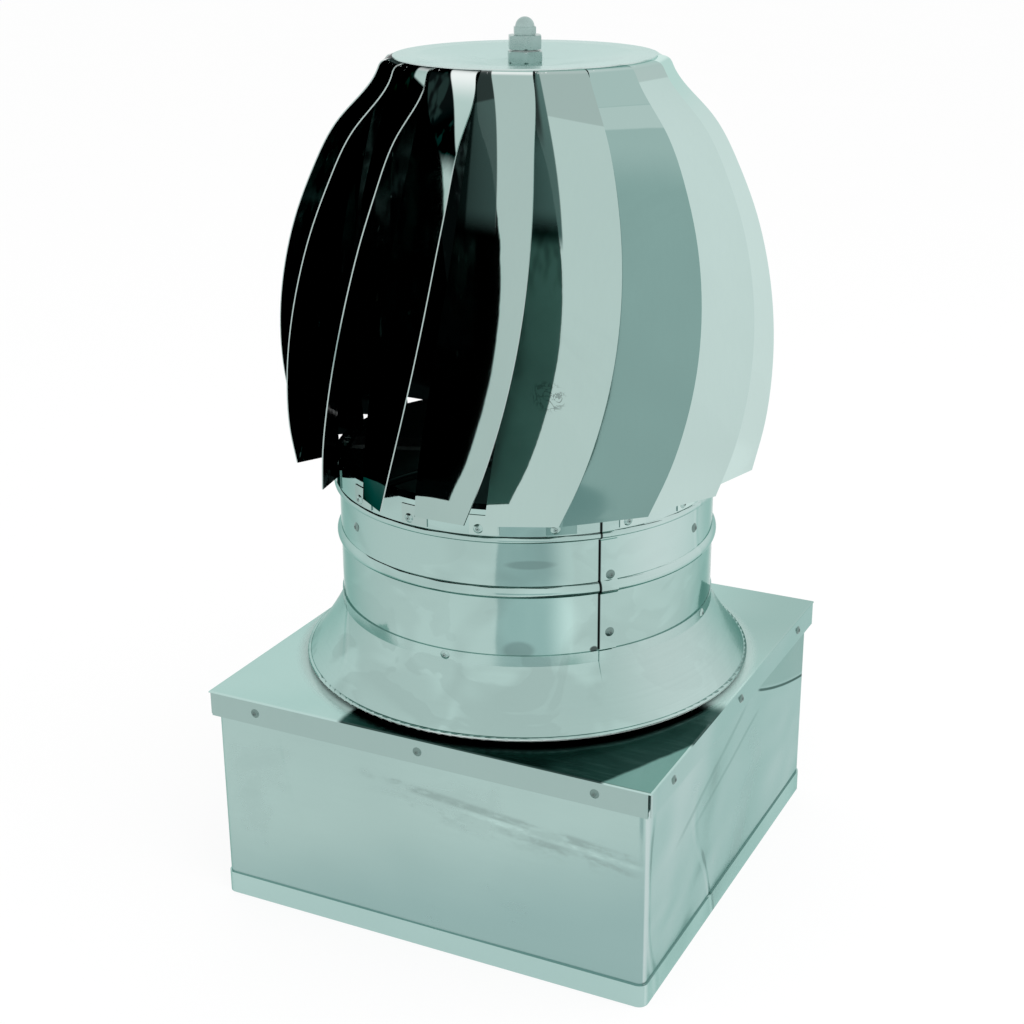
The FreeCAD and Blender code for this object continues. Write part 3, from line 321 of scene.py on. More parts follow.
def sheet_finish(name, colour, grain=(3, 3, 60), dents=0.0006, rough=0.22, tone=0.12, stain_and_painted_reflection=0.2, bloom=0.08):
    """Rolled sheet metal: grain, uneven tone, soft dents, short scuffs and dull smudges."""
    finish = Finish(name)
    cloud = finish.noise(finish.place, 5.0, 3.0)
    fine = finish.noise(finish.stretched(grain), 14.0, 5.0, 0.65)
    patch = finish.ramp(finish.noise(finish.place, 13.0, 5.0, 0.62, 0.6), 0.55, 0.72)
    streak = finish.noise(finish.stretched((34, 22, 5), (0.5, 0.35, 0.9)), 5.0, 2.0, 0.5)
    worn = finish.ramp(streak, 0.74, 0.78) * finish.ramp(finish.noise(finish.place, 15.0), 0.52, 0.6)
    finish.colour = finish.blend(cloud, shade(colour, 1 - tone), shade(colour, 1 + tone))
    finish.paint(fine * 0.25, shade(colour, 0.88))
    finish.paint(patch * stain_and_painted_reflection, shade(colour, 0.74))
    finish.paint(worn * 0.4, shade(colour, 1.3))
    finish.rough = fine * bloom + patch * bloom + worn * 0.08 + (rough - bloom * 0.5)
    waves = finish.noise(finish.stretched((1, 1, 1.6)), 5.5, 2.0, 0.4, 0.3)
    soft = finish.bump(waves, dents * 22)
    fold = finish.crease(finish.stretched((1, 1, 0.7), (0.5, 0.2, 0.4)), 6.0, 0.016)
    fold = fold * finish.ramp(finish.noise(finish.place, 10.0, 2.0), 0.5, 0.62)
    soft = finish.bump(fold, dents * 0.8, 0.7, soft)
    finish.normal = finish.bump(fine, bloom * 0.0004, 0.6, soft)
    finish.drive("Metallic", 1.0)
    finish.drive("Specular Tint", (*shade(colour, 1.2), 1.0))
    return finish


def close(finish):
    """Links the finish's colour, roughness and normal to the surface."""
    finish.drive("Base Color", finish.colour)
    finish.drive("Roughness", finish.rough)
    finish.drive("Normal", finish.normal)
    return finish.material


def front_creases(finish, colour, front, wander):
    """Painted shade and highlight of creases: dark folds that fall towards the front corner, with a pale
    highlight line and a darker crumpled band among them.
    """
    height = finish.z + wander * 0.15
    fold = finish.stroke(finish.x, height, (-0.051, 0.1156), BOX_CORNER, -0.078, 0.0042) \
        + finish.stroke(finish.x, height, (0.0406, 0.1002), BOX_CORNER, -0.09, 0.0036)
    pale = finish.stroke(finish.x, height, (0.020, 0.1065), BOX_CORNER, -0.085, 0.0024)
    broken = finish.ramp(finish.noise(finish.stretched((1, 1, 2.4)), 26.0, 5.0, 0.7), 0.40, 0.58)
    # Painted shade in the folds and a painted highlight on the pale line.
    finish.paint(fold * front * broken * 0.5, shade(colour, 0.55))
    finish.paint(pale * front * broken * 0.6, shade(colour, 1.3))
    band = finish.stroke(finish.x, finish.z + wander * 0.3, (-0.035, 0.106), 0.140, -0.066, 0.014)
    rumple = finish.noise(finish.stretched((1.2, 1, 3.2), (0, 0.12, 0)), 30.0, 6.0, 0.72)
    finish.paint(band * finish.ramp(rumple, 0.50, 0.60) * front * 0.24, shade(colour, 0.66))


def side_creases(finish, colour, side, wander):
    """Painted shade of two folds that climb from the front corner, and a painted reflection: a dark curve
    with a darker sheet above it.
    """
    height = finish.z + wander * 0.2
    fold = finish.stroke(finish.y, height, (-0.1089, 0.0834), 0.030, 0.308, 0.0030) \
        + finish.stroke(finish.y, height, (-0.0783, 0.0809), 0.055, 0.218, 0.0026)
    finish.paint(fold * side * 0.34, shade(colour, 0.6))
    # Painted reflection: a dark curve on the right wall, darker above it.
    far = finish.y - 0.0448
    level = finish.z - 0.126 + far * 0.42 - far * far * 0.95
    reach = finish.ramp(far, -0.002, 0.006) * side
    line = 1 - finish.ramp(finish.size_of(level), 0.0006, 0.0014)
    finish.paint(finish.ramp(level, 0.0, 0.004) * reach * 0.5, shade(colour, 0.72))
    finish.paint(line * reach * 0.9, shade(colour, 0.06))


def box_finish(colour):
    """Painted light and shade: the right wall is paler and the front wall darker low down; the creases beside
    the front corner are painted, and a painted shadow line runs above the pale hem.
    """
    finish = sheet_finish("box_sheet", colour, (2, 2, 26), 0.0009, 0.24, 0.16, 0.16)
    wander = finish.wander(9.0, 0.03)
    front = finish.ramp(0 - finish.y, WALL_FACE - FACE_SOFT, WALL_FACE + FACE_SOFT)
    side = finish.ramp(finish.x, WALL_FACE - FACE_SOFT, WALL_FACE + FACE_SOFT)
    # Painted light: the right wall gets a paler tone of its own.
    finish.paint(side * 0.9, shade(colour, 1.32, 1.17, 1.22))
    # Painted shade: the front wall darkens towards the bottom.
    deep = 1 - finish.ramp(finish.z - 0.054 - finish.x * 0.27 + wander, -0.036, 0.046)
    finish.paint(deep * front * 0.85, shade(colour, 0.70, 0.78, 0.80))
    front_creases(finish, colour, front, wander)
    side_creases(finish, colour, side, wander)
    hem = 1 - finish.ramp(finish.z, HEM_TOP - 0.0006, HEM_TOP + 0.0006)
    rim = finish.band(finish.z, HEM_TOP - 0.0002, HEM_TOP + 0.0002, HEM_TOP + 0.0008, HEM_TOP + 0.0020)
    finish.paint(hem * 0.5, shade(colour, 1.30))
    # Painted shadow line along the top of the hem.
    finish.paint(rim * (side * 0.55 + 0.12), shade(colour, 0.3))
    return close(finish)


def lid_finish(colour):
    """Painted reflection: the lid is dark in front of the skirt, with paler streaks in it; painted light and
    shade give the flat, the lips and the back tones of their own.
    """
    finish = sheet_finish("lid_sheet", colour, (26, 2, 2), 0.0005, 0.16, 0.08, 0.18)
    wander = finish.wander(30.0, 0.009)
    flat = finish.ramp(finish.z, LID_TOP - 0.0014, LID_TOP - 0.0008)
    lip = 1 - flat
    # Painted light: the flat is paler than the lips.
    finish.paint(flat * 0.8, shade(colour, 1.24))
    # Painted reflection of the skirt's dark underside on the flat in front of the skirt, with paler streaks
    # in it.
    stain_and_painted_reflection = finish.ramp(finish.x + wander, -0.058, -0.053) \
        * (1 - finish.ramp(finish.y + wander, -0.044, -0.026))
    corner = finish.ramp(finish.x * 2.15 - finish.y + wander, 0.414, 0.421)
    stain_and_painted_reflection = stain_and_painted_reflection * (1 - corner) * finish.ramp(finish.z, LID_TOP - 0.0012, LID_TOP - 0.0008)
    streak = finish.noise(finish.stretched((5, 60, 5), (0, 0, 0.5)), 6.0, 3.0, 0.6)
    fade = finish.ramp(finish.x + finish.y * 0.4 + wander, 0.03, 0.12)
    pale_reflection_streaks = finish.ramp(streak, 0.50, 0.68) * 0.07 + fade * 0.07
    finish.paint(stain_and_painted_reflection * 0.96, finish.blend(pale_reflection_streaks, (0.010, 0.034, 0.029), shade(colour, 0.9)))
    # Painted shade on the front lips and painted light on the right lip.
    right = finish.ramp(finish.x, LIP_FACE - FACE_SOFT, LIP_FACE + FACE_SOFT)
    finish.paint(lip * (1 - right) * 0.55, shade(colour, 0.72))
    finish.paint(lip * right * 0.8, shade(colour, 1.3, 1.15, 1.2))
    # Painted shade: the flat darkens towards the right and the back.
    behind = finish.ramp(finish.x, 0.05, 0.14) * finish.ramp(finish.y, -0.01, 0.10)
    finish.paint(behind * flat * 0.8, shade(colour, 0.90))
    # Painted light: a less metallic ring round the skirt's rim lightens the shade under the skirt.
    hugged = (1 - finish.ramp(finish.radius(), SKIRT_REACH, SKIRT_REACH + 0.008)) * (1 - stain_and_painted_reflection) * flat
    finish.paint(hugged * 0.9, (0.40, 0.54, 0.51))
    material = close(finish)
    finish.drive("Metallic", 1 - hugged * 0.9)
    return material


def seam_line(finish, colour, start, width, low, high):
    """A dark upright line where one sheet laps over another."""
    near = finish.band(finish.angle(), start - width, start - width * 0.4, start + width * 0.4, start + width)
    inside = finish.band(finish.z, low, low + 0.001, high - 0.001, high)
    finish.paint(near * inside, shade(colour, 0.05))


def paint_right_highlight(finish, share):
    """Painted highlight: the sheets are brighter to the right of the seam."""
    bright = finish.band(finish.angle(), *(math.radians(turn) for turn in (-46, -22, 10, 60)))
    finish.paint(bright * share, (0.54, 0.67, 0.65))


def facets(finish, colour, share):
    """Painted reflections: pale and dull patches with clear borders, as a hand-worked sheet mirrors its room.
    """
    broad = finish.noise(finish.stretched((1, 1, 1.5)), 15.0, 2.0, 0.5, 0.5)
    crisp = finish.noise(finish.stretched((1, 1.3, 1.8), (0.3, 0.2, 0.5)), 12.0, 3.0, 0.5, 1.0)
    finish.paint(finish.ramp(broad, 0.44, 0.56) * share, shade(colour, 1.24))
    finish.paint(finish.ramp(crisp, 0.50, 0.525) * share * 0.8, shade(colour, 0.84))


def collar_finish(colour):
    """The collar and the ring: smooth, with painted reflections, a painted pale patch, two dull ovals and a
    dark seam.
    """
    finish = sheet_finish("collar_sheet", colour, (1.5, 1.5, 40), 0.0004, 0.09, 0.15, 0.26, 0.05)
    # Painted reflections: patches, and a brighter right side.
    facets(finish, colour, 0.3)
    paint_right_highlight(finish, finish.ramp(finish.z, 0.232, 0.242) * 0.7 + 0.05)
    marks = finish.spot(-63, 0.2565, 8.5, 0.0034) + finish.spot(-66.5, 0.2005, 5.5, 0.0075)
    # Painted light: a pale patch low on the collar lightens the grey card's reflection there.
    finish.paint(finish.spot(-61, 0.218, 14, 0.030) * 0.5, shade(colour, 1.4))
    finish.paint(marks * 0.55, shade(colour, 0.62))
    seam_line(finish, colour, SEAM, 0.008, 0.1975, COLLAR_HIGH.z + 0.02)
    finish.paint(finish.spot(-44.6, 0.1985, 1.5, 0.0024) * 0.9, shade(colour, 0.08))
    return close(finish)


def inside_shade_finish(colour):
    """Painted shade: the inner sides of the collar and the ring are dark and dull."""
    return close(sheet_finish("inside_shade_sheet", colour, (3, 3, 30), 0.0004, 0.34, 0.2, 0.4))


def cone_finish(colour):
    """The skirt is spun, which leaves fine rings round its axis. Painted reflections give it patches and a
    brighter right side, and a painted highlight runs along the front of its rim.
    """
    finish = sheet_finish("skirt_sheet", colour, (2, 2, 8), 0.0006, 0.20, 0.26, 0.30)
    # Painted reflections: patches, and a brighter right side.
    facets(finish, colour, 0.55)
    paint_right_highlight(finish, 0.6)
    # Painted highlight along the front of the rim.
    rim = 1 - finish.ramp(finish.z, SKIRT_RIM_TOP - FACE_SOFT, SKIRT_RIM_TOP + FACE_SOFT)
    finish.paint(rim * finish.spot(-74, 0.152, 22, 0.1), (0.90, 0.95, 0.94))
    rings = finish.node("ShaderNodeTexNoise", {"noise_dimensions": "1D"},
                        {"W": finish.radius() * 900, "Scale": 1.0, "Detail": 3.0})
    finish.normal = finish.bump(rings, 0.00005, 0.5, finish.normal)
    finish.paint(rings * 0.2, shade(colour, 0.86))
    return close(finish)


def cap_finish(colour):
    """The cap is pale, with an even grain."""
    return close(sheet_finish("cap_sheet", colour, (4, 4, 4), 0.0004, 0.24, 0.07, 0.14))


def vane_finish(name, colour, tone, dents=0.00006, rough=0.05, glow=0.001, marks=None):
    """The grain of a vane runs down its length, and its bend under the cap gets a painted highlight."""
    finish = sheet_finish(name, colour, (30, 30, 1.4), dents, rough, tone, 0.10, 0.02)
    # Painted highlight on the bend under the cap.
    finish.paint(finish.ramp(finish.z, BROW - glow, BROW + 0.0006) * 0.85, (0.92, 0.96, 0.95))
    if marks:
        marks(finish, colour)
    return close(finish)


def dark_reflection_over(finish, painted_dark):
    """Painted dark reflection on the crown of a vane. It has no pale edge where it is seen at a slant."""
    green = finish.noise(finish.stretched((20, 20, 4)), 6.0, 2.0)
    dark = finish.blend(finish.ramp(green, 0.50, 0.62), (0.003, 0.005, 0.005), (0.014, 0.030, 0.027))
    ragged = finish.z + finish.wander(40.0, 0.012, 4.0)
    finish.paint(painted_dark * finish.ramp(ragged, 0.484, 0.499), dark)
    finish.drive("Specular Tint", (0.02, 0.03, 0.03, 1.0))


def crown_of_last(finish, colour):
    """Painted dark reflection to the left of a slanting line."""
    line = (CROWN_CORNER - finish.z) * 4.8 + math.radians(-93.5)
    dark_reflection_over(finish, 1 - finish.ramp(finish.angle() - line, -0.006, 0.006))


def crown_before_last(finish, colour):
    """Painted dark reflection but for a bright corner under the cap."""
    corner = finish.ramp(finish.z + finish.angle() * 0.03, 0.4745, 0.4765) \
        * finish.ramp(finish.angle(), math.radians(-111.5), math.radians(-110))
    dark_reflection_over(finish, 1 - corner)


def crown_of_left(finish, colour):
    """Painted dark reflection right up to the cap."""
    dark_reflection_over(finish, 1 - finish.ramp(finish.z, 0.5376, 0.5384))


def dark_leaf(finish, edge, curl, power, green, black):
    """A painted reflection: a dull dark leaf beside the vane before, up to the cap. Its right-hand edge, in
    degrees, curls.
    """
    rise = (finish.z - LEAF_FOOT) / LEAF_HEIGHT
    border = finish.angle() - math.radians(edge) + rise ** power * math.radians(curl)
    leaf = 1 - finish.ramp(border, -0.004, 0.004)
    dark = finish.blend(black, green, (0.004, 0.010, 0.009))
    finish.paint(leaf * finish.ramp(finish.z, LEAF_FOOT - 0.013, LEAF_FOOT - 0.002), dark)
    finish.drive("Metallic", 1 - leaf * finish.ramp(finish.z, LEAF_FOOT - 0.003, LEAF_FOOT + 0.012) * 0.92)


def marks_of_first(finish, colour):
    """Painted reflection: a dark leaf up to the cap, green to its right."""
    left = 1 - finish.ramp(finish.angle(), math.radians(-82.2), math.radians(-81.2))
    peak = finish.ramp(finish.z - finish.angle() * 0.02, 0.5500, 0.5515)
    dark_leaf(finish, -71.9, 4.4, 3.0, (0.034, 0.066, 0.060), left + peak)


def marks_of_second(finish, colour):
    """Painted reflections: a dark leaf up to the cap and a darker top; a scuff half way down."""
    angle = finish.angle()
    top = finish.ramp(finish.z - 0.5151 + (angle + math.radians(55.9)) * 0.0187, 0.0, 0.0008)
    finish.paint(top * 0.8, shade(colour, 0.74))
    left = 1 - finish.ramp(angle + (finish.z - 0.5) * 1.1, math.radians(-58.6), math.radians(-57.0))
    dark_leaf(finish, -54.1, 4.1, 2.2, (0.050, 0.105, 0.095), left * finish.ramp(finish.z, 0.495, 0.515))
    thread = finish.size_of(finish.noise(finish.place, 90.0, 3.0, 0.6, 2.0) - 0.5)
    scuff = (1 - finish.ramp(thread, 0.010, 0.04)) * finish.spot(-58.8, 0.3645, 4.6, 0.010)
    finish.paint(scuff * 0.85, shade(colour, 0.42))


def marks_of_third(finish, colour):
    """Painted reflection: a darker vane that grows paler in steps towards the cap."""
    wander = finish.wander(22.0, 0.012)
    finish.paint(finish.ramp(finish.z + wander, 0.470, 0.500) * 0.5, (0.36, 0.51, 0.48))
    step = finish.ramp(finish.z + wander * 0.15, 0.5060, 0.5072) * (1 - finish.ramp(finish.z, 0.5180, 0.5188))
    top = finish.ramp(finish.z, 0.5184, 0.5190)
    finish.paint(step * 0.8 + top * 0.5, (0.42, 0.56, 0.53))


def marks_of_fourth(finish, colour):
    """Painted reflection: a darker top."""
    finish.paint(finish.ramp(finish.z, 0.5290, 0.5300) * 0.8, shade(colour, 0.78))


def dark_vane_finish(name, colour, metal=1.0):
    """An inner face in painted shade, still glossy; its green patches high up and faint pale streaks down its
    length are painted reflections.
    """
    finish = Finish(name)
    streak = finish.noise(finish.stretched((44, 44, 2.2)), 7.0, 4.0, 0.6, 0.5)
    painted_dark = finish.noise(finish.place, 20.0, 5.0, 0.6)
    finish.colour = finish.blend(painted_dark, shade(colour, 0.7), shade(colour, 1.25))
    # Painted reflection: green patches high up.
    green = finish.ramp(finish.noise(finish.stretched((18, 18, 3), (0.2, 0, 0)), 5.0, 2.0), 0.46, 0.60)
    finish.paint(green * finish.ramp(finish.z, 0.40, 0.47) * 0.8, (0.035, 0.066, 0.060))
    scratch = finish.noise(finish.stretched((60, 60, 11), (0.5, 0.2, 0)), 5.0, 1.0, 0.4)
    finish.paint(finish.ramp(scratch, 0.74, 0.77) * 0.5, (0.20, 0.28, 0.27))
    # Painted reflection: faint pale streaks down the length.
    finish.paint(finish.ramp(streak, 0.60, 0.74) * 0.18, (0.09, 0.13, 0.13))
    finish.rough = painted_dark * 0.10 + 0.10
    finish.normal = finish.bump(finish.noise(finish.stretched((1, 1, 1.5)), 8.0, 3.0), 0.004)
    finish.drive("Metallic", metal)
    finish.drive("Specular Tint", (0.05, 0.07, 0.07, 1.0))
    return close(finish)


def turned_finish(name, colour, rough, pitch=1400.0):
    """Turned or rolled steel, with fine rings round the upright axis."""
    finish = Finish(name)
    rings = finish.node("ShaderNodeTexNoise", {"noise_dimensions": "1D"},
                        {"W": (finish.z + finish.radius()) * pitch, "Scale": 1.0, "Detail": 2.0})
    dull = finish.noise(finish.place, 160.0, 4.0, 0.6)
    finish.colour = finish.blend(dull, shade(colour, 0.75), shade(colour, 1.2))
    finish.rough = dull * 0.16 + rough
    finish.normal = finish.bump(rings, 0.00004, 0.5)
    finish.drive("Metallic", 1.0)
    return close(finish)


def dress(names, *materials, sort=None):
    """Gives CAD nodes finishes of their own. With several, sort gives each face its finish."""
    for name in names:
        mesh = NODES[name].data
        mesh.materials.clear()
        for material in materials:
            mesh.materials.append(material)
        for polygon in mesh.polygons:
            polygon.material_index = sort(polygon) if sort else 0


def faces_down(polygon):
    """1 for a face that looks down, 0 for any other face."""
    return int(polygon.normal.z < -0.1)


def faces_inward(polygon):
    """1 for a face of a round wall that looks at the spindle, 0 for any other face."""
    middle, normal = polygon.center, polygon.normal
    return int(middle.x * normal.x + middle.y * normal.y < -0.3 * math.hypot(middle.x, middle.y))


def vane_side(polygon):
    """Which side of a vane a face belongs to: 0 outer, 1 inner, 2 cut edge."""
    normal, middle = polygon.normal, polygon.center
    if abs(normal.z) > 0.9:
        return 0 if normal.z > 0 else 1
    facing = math.degrees(math.atan2(normal.y, normal.x) - math.atan2(middle.y, middle.x))
    sides = ((-30, 0), (55, 2), (150, 1), (-115, 2))
    return min(sides, key=lambda side: abs((facing - side[0] + 180) % 360 - 180))[1]


# Small pieces

def head_seats(name):
    """The crown and the facing of each rivet head of a node, read from its mesh."""
    groups = []
    for vertex in NODES[name].data.vertices:
        point = vertex.co.copy()
        for group in groups:
            if (group[0] - point).length < HEAD_SPAN:
                group.append(point)
                break
        else:
            groups.append([point])
    seats = []
    for group in groups:
        low = Vector([min(point[axis] for point in group) for axis in range(3)])
        high = Vector([max(point[axis] for point in group) for axis in range(3)])
        middle = (low + high) / 2
        size = high - low
        flat = HEAD_FLAT * max(size)
        if size.z < flat:
            way = Vector((0, 0, 1))
        elif min(size.x, size.y) < flat and max(abs(middle.x), abs(middle.y)) >= ROUND_REACH:
            way = Vector((0, math.copysign(1, middle.y), 0)) if size.y < size.x \
                else Vector((math.copysign(1, middle.x), 0, 0))
        else:
            way = Vector((middle.x, middle.y, 0)).normalized()
        crown = max(point.dot(way) for point in group)
        seats.append((middle + way * (crown - middle.dot(way)), way))
    return seats


def core_profile(wide, deep):
    """A core that ends a little proud of its head's crown, in a shallow dimple: radii and heights."""
    return [(0, deep * 0.5), (wide * 0.5, deep * 0.45), (wide * 0.62, -deep), (wide * 0.85, -deep),
            (wide, 0.0), (wide * 1.25, -deep * 1.2), (0, -deep * 1.2)]


def lathe(mesh, profile, spot, way, steps=20):
    """Adds a small turned form: its profile is (radius, height) pairs along the way it faces."""
    turn = way.to_track_quat("Z", "Y").to_matrix()
    rings = []
    for radius, height in profile:
        ring = []
        for step in range(1 if radius == 0 else steps):
            angle = 2 * math.pi * step / steps
            local = Vector((radius * math.cos(angle), radius * math.sin(angle), height))
            ring.append(mesh.verts.new(spot + turn @ local))
        rings.append(ring)
    for lower, upper in zip(rings, rings[1:]):
        for step in range(steps):
            following = (step + 1) % steps
            corners = [lower[step % len(lower)], lower[following % len(lower)],
                       upper[following % len(upper)], upper[step % len(upper)]]
            unique = list(dict.fromkeys(corners))
            if len(unique) > 2:
                mesh.faces.new(unique)


def object_of(name, mesh, material):
    """Makes a bmesh into an object with one material."""
    data = bpy.data.meshes.new(name)
    mesh.to_mesh(data)
    mesh.free()
    data.materials.append(material)
    made = bpy.data.objects.new(name, data)
    bpy.context.scene.collection.objects.link(made)
    return made


def finished_piece(name, mesh, material, body):
    """Makes a bmesh into a smooth piece that rides on a body."""
    bmesh.ops.recalc_face_normals(mesh, faces=mesh.faces[:])
    piece = object_of(name, mesh, material)
    for polygon in piece.data.polygons:
        polygon.use_smooth = True
    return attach(piece, body)


# Operators

class COWL_OT_box(bpy.types.Operator):
    """Finish the box and its lid"""
    bl_idname = "cowl.box"
    bl_label = "Box and lid"

    def execute(self, context):
        colour = tuple(context.scene.cowl_finishes.box_colour)
        dress(["box_walls"], box_finish(colour))
        dress(["lid_tray"], lid_finish(colour))
        return {"FINISHED"}


class COWL_OT_neck(bpy.types.Operator):
    """Finish the collar, the spun skirt and the bottom ring"""
    bl_idname = "cowl.neck"
    bl_label = "Collar, skirt and ring"

    def execute(self, context):
        looks = context.scene.cowl_finishes
        colour = tuple(looks.collar_colour)
        hollow = inside_shade_finish(tuple(looks.inside_shade_colour))
        # Painted shade on the inward faces of the collar and the ring.
        dress(["collar", "bottom_ring"], collar_finish(colour), hollow, sort=faces_inward)
        # Painted light: the skirt's underside is pale and little metallic, so the shade under the skirt shows
        # less.
        under = sheet_finish("skirt_underside", (0.66, 0.74, 0.72), (3, 3, 30), 0.0004, 0.6, 0.1, 0.2)
        under.drive("Metallic", 0.2)
        dress(["storm_cone"], cone_finish(colour), close(under), sort=faces_down)
        return {"FINISHED"}


class COWL_OT_vanes(bpy.types.Operator):
    """Finish the vanes: polished outside with painted reflections, painted shade inside, with bright cut
    edges
    """
    bl_idname = "cowl.vanes"
    bl_label = "Vanes"

    def execute(self, context):
        looks = context.scene.cowl_finishes
        colour = tuple(looks.vane_colour)
        dull = tuple(looks.dull_dark_reflection_colour)
        plain = vane_finish("vane_outer", colour, 0.08)
        left = vane_finish("vane_outer_left", colour, 0.08, marks=crown_of_left)
        last = len(VANES) - 1
        # Painted reflections: the first five vanes get darker or paler tones of their own, the first two get
        # painted dark leaves and the last four get painted dark crowns.
        outer = {
            0: vane_finish("vane_outer_first", shade(colour, 0.83), 0.12, marks=marks_of_first),
            1: vane_finish("vane_outer_second", shade(colour, 0.93), 0.06, marks=marks_of_second),
            2: vane_finish("vane_outer_dull_dark_reflection", dull, 0.24, 0.00012, 0.10, marks=marks_of_third),
            3: vane_finish("vane_outer_fourth", (0.51, 0.65, 0.62), 0.14, marks=marks_of_fourth),
            4: vane_finish("vane_outer_fifth", (0.56, 0.70, 0.67), 0.12),
            last - 3: left,
            last - 2: left,
            last - 1: vane_finish("vane_outer_before_last", colour, 0.08, marks=crown_before_last),
            last: vane_finish("vane_outer_last", colour, 0.08, glow=0.016, marks=crown_of_last)}
        edge = vane_finish("vane_edge", (0.46, 0.56, 0.54), 0.10, 0.0001, 0.20)
        shaded = dark_vane_finish("vane_inner", tuple(looks.shade_colour), 0.35)
        darkened = dark_vane_finish("vane_inner_painted_shade", tuple(looks.inner_dark_shade_colour))
        for index, name in enumerate(VANES):
            # Painted shade: the inner faces past the middle vane are near black, the others dark green.
            inner = darkened if index > len(VANES) // 2 else shaded
            dress([name], outer.get(index, plain), inner, edge, sort=vane_side)
        return {"FINISHED"}


class COWL_OT_cap(bpy.types.Operator):
    """Finish the cap"""
    bl_idname = "cowl.cap"
    bl_label = "Cap"

    def execute(self, context):
        dress(["cap_disc"], cap_finish(tuple(context.scene.cowl_finishes.cap_colour)))
        return {"FINISHED"}


class COWL_OT_works(bpy.types.Operator):
    """Finish the inner works: bracket, spindle, bearing, spider, bush and the ring under the cap"""
    bl_idname = "cowl.works"
    bl_label = "Inner works"

    def execute(self, context):
        # Painted shade: the bar steel has a very dark colour for the unlit inside of the cowl.
        dress(["spindle_bracket", "spider", "tab_ring", "bracket_washer", "spindle_clip", "housing_clip"],
              turned_finish("bar_steel", (0.10, 0.13, 0.125), 0.34, 500.0))
        dress(["spindle", "bearing_housing"], turned_finish("shaft_steel", (0.42, 0.47, 0.46), 0.20))
        dress(["bearing_inner_ring", "bearing_outer_ring", "bearing_balls"],
              turned_finish("bearing_steel", (0.62, 0.65, 0.65), 0.08))
        dress(["spider_bush"], turned_finish("bronze", (0.55, 0.36, 0.16), 0.28))
        return {"FINISHED"}


class COWL_OT_fasteners(bpy.types.Operator):
    """Finish the nuts and rivet heads, and set a pulled core in each head"""
    bl_idname = "cowl.fasteners"
    bl_label = "Fasteners"

    def execute(self, context):
        looks = context.scene.cowl_finishes
        sizes = context.scene.cowl_sizes
        colour = tuple(looks.fastener_colour)
        dress(["bracket_nut", "lock_nut", "cap_washer", "acorn_nut", "hub_nut"],
              turned_finish("nut_steel", colour, 0.20, 900.0))
        heads = sorted(name for name in NODES if name.endswith("_rivets"))
        dress(heads, turned_finish("rivet_steel", tuple(looks.rivet_colour), 0.24, 2000.0))
        dress(["ring_rivets", "cone_rivets"],
              turned_finish("bright_rivet", tuple(looks.collar_colour), 0.16, 2000.0))
        core = turned_finish("rivet_core", shade(colour, 0.35), 0.35, 3000.0)
        profile = core_profile(sizes.core_radius, sizes.core_depth)
        for body in ("base", "rotor"):
            mesh = bmesh.new()
            for name in heads:
                if NODES[name]["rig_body"] == body:
                    for spot, way in head_seats(name):
                        lathe(mesh, profile, spot, way)
            finished_piece("rivet_cores_" + body, mesh, core, body)
        return {"FINISHED"}


